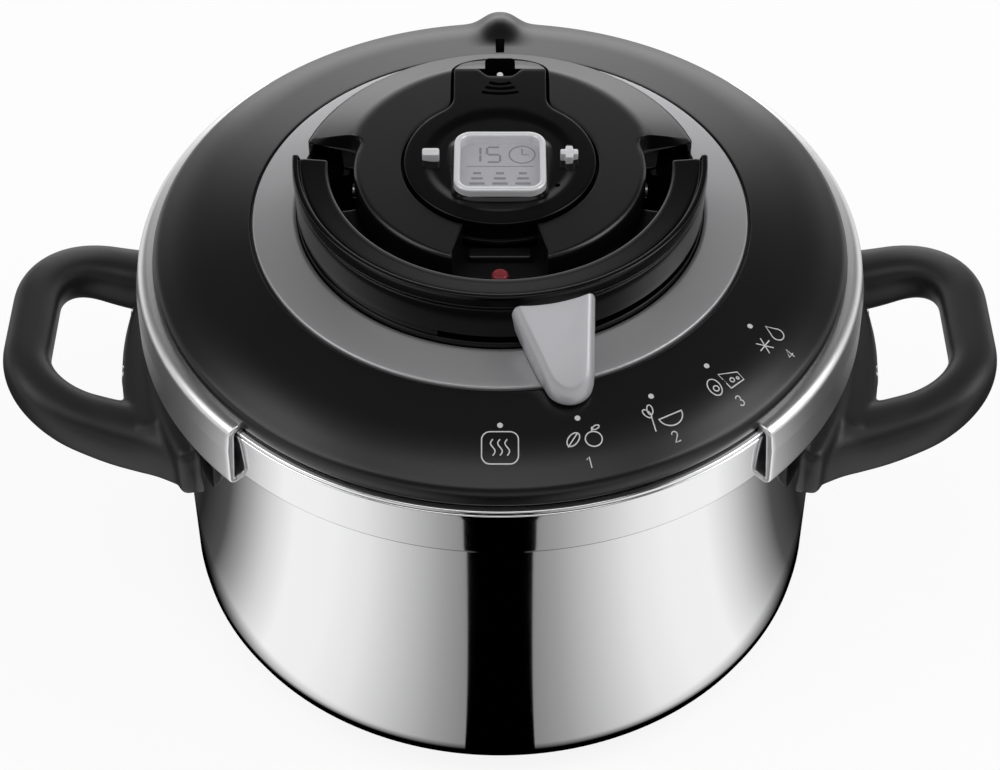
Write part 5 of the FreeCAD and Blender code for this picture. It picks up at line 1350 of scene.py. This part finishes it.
def floor_material():
    """White to the eye, and a grey pattern in reflections, with the pot's shadow kept.

    In reflections the floor's brightness follows FLOOR_STOPS, pairs of an azimuth and a grey that are
    the same at the left and the right, as if grey cards stood there. A black card lies in front: its
    half angle is CARD_START and widens by CARD_SPREAD degrees a metre. Close to the pot's foot the
    floor is black all round, a painted shadow that the pot's lower rim reflects, and far behind the pot
    it is an even FAR_GREY.
    """
    material = bpy.data.materials.new("studio_floor")
    material.use_nodes = True
    tree = material.node_tree
    tree.nodes.clear()
    place = node(tree, "ShaderNodeTexCoord", 3)
    split = tree.nodes.new("ShaderNodeSeparateXYZ")
    join(tree, place, split.inputs[0])
    x, y = Flow(tree, split.outputs[0]), Flow(tree, split.outputs[1])
    azimuth = x.math("ABSOLUTE").math("ARCTAN2", y * -1.0) * (180.0 / np.pi)
    radius = (x * x + y * y).math("SQRT")
    ramp = tree.nodes.new("ShaderNodeValToRGB")
    for place_in_list, (angle, value) in enumerate(FLOOR_STOPS):
        elements = ramp.color_ramp.elements
        element = elements[place_in_list] if place_in_list < 2 else elements.new(1.0)
        element.position = angle / 180.0
        element.color = (value, value, value, 1.0)
    join(tree, azimuth / 180.0, ramp.inputs[0])
    card = azimuth > CARD_START + (radius - POT_FOOT) * CARD_SPREAD
    # Painted shadow: in reflections the floor goes black close to the pot's foot.
    foot_shadow = ((radius - 0.118) / 0.008).clamped()
    behind = ((radius - 0.4) / 0.2).clamped() * (azimuth > 120.0)
    grey = Flow(tree, ramp.outputs[0])
    light = card * foot_shadow * (grey * (1.0 - behind) + FAR_GREY * behind)
    mirror = node(tree, "ShaderNodeEmission", Strength=light)
    plain = node(tree, "ShaderNodeBsdfDiffuse", Color=(0.9, 0.9, 0.9, 1.0))
    white = node(tree, "ShaderNodeEmission", Color=(1.0, 1.0, 1.0, 1.0), Strength=1.0)
    path = tree.nodes.new("ShaderNodeLightPath")
    camera_ray = Flow(tree, path.outputs["Is Camera Ray"])
    glossy_ray = Flow(tree, path.outputs["Is Glossy Ray"])
    seen = tree.nodes.new("ShaderNodeMixShader")
    join(tree, camera_ray * FLOOR_WHITE, seen.inputs[0])
    join(tree, plain, seen.inputs[1])
    join(tree, white, seen.inputs[2])
    both = tree.nodes.new("ShaderNodeMixShader")
    join(tree, glossy_ray, both.inputs[0])
    join(tree, Flow(tree, seen.outputs[0]), both.inputs[1])
    join(tree, mirror, both.inputs[2])
    out = tree.nodes.new("ShaderNodeOutputMaterial")
    join(tree, Flow(tree, both.outputs[0]), out.inputs[0])
    return material


floor_mesh = bpy.data.meshes.new("floor")
corners = [(x, y, 0.0) for x, y, _ in box(-FLOOR_HALF, FLOOR_HALF, -FLOOR_HALF, FLOOR_HALF)]
floor_mesh.from_pydata(corners, [], [(0, 1, 2, 3)])
floor = bpy.data.objects.new("floor", floor_mesh)
floor_mesh.materials.append(floor_material())
bpy.context.scene.collection.objects.link(floor)

# %% Lamps and surroundings
POT_MIDDLE = (0.0, 0.0, 0.12)
lamp("left_softbox", (-1.1, -0.2, 1.3), POT_MIDDLE, (1.0, 1.0), 7.0)
lamp("right_softbox", (1.2, -0.1, 1.2), POT_MIDDLE, (0.9, 1.0), 9.5)
lamp("top_fill", (0.0, -0.5, 1.7), (0.0, 0.0, 0.1), (1.2, 0.8), 4.2)
lamp("rear_card", (0.0, 1.2, 0.52), (0.0, 0.0, 0.52), (1.1, 1.0), 3.9)
world = bpy.data.worlds.new("studio")
bpy.context.scene.world = world
world.use_nodes = True
sky = world.node_tree
background = sky.nodes["Background"]
path = sky.nodes.new("ShaderNodeLightPath")
seen = (Flow(sky, path.outputs["Is Camera Ray"]) + Flow(sky, path.outputs["Is Transmission Ray"]))
seen = seen.math("MINIMUM", 1.0)
split = sky.nodes.new("ShaderNodeSeparateXYZ")
join(sky, node(sky, "ShaderNodeTexCoord"), split.inputs[0])
height = Flow(sky, split.outputs[2])
glossy = Flow(sky, path.outputs["Is Glossy Ray"])
gloom = (1.0 - height * 1.7).math("MAXIMUM", 0.06)
level = glossy * gloom + (1.0 - glossy) * 0.4
join(sky, seen + (1.0 - seen) * level, background.inputs["Strength"])
background.inputs["Color"].default_value = (1.0, 1.0, 1.0, 1.0)

# %% Camera
camera_data = bpy.data.cameras.new("camera")
camera = bpy.data.objects.new("camera", camera_data)
bpy.context.scene.collection.objects.link(camera)
camera_data.sensor_width = 36.0
camera_data.lens = 87.68
camera_data.shift_y = -0.0384
elevation = np.radians(45.02)
distance = 0.85225
camera.location = (0.0, -distance * np.cos(elevation), 0.1 + distance * np.sin(elevation))
camera.rotation_euler = (np.pi / 2 - elevation, 0.0, 0.0)
bpy.context.scene.camera = camera
bpy.context.scene.view_settings.view_transform = "Standard"
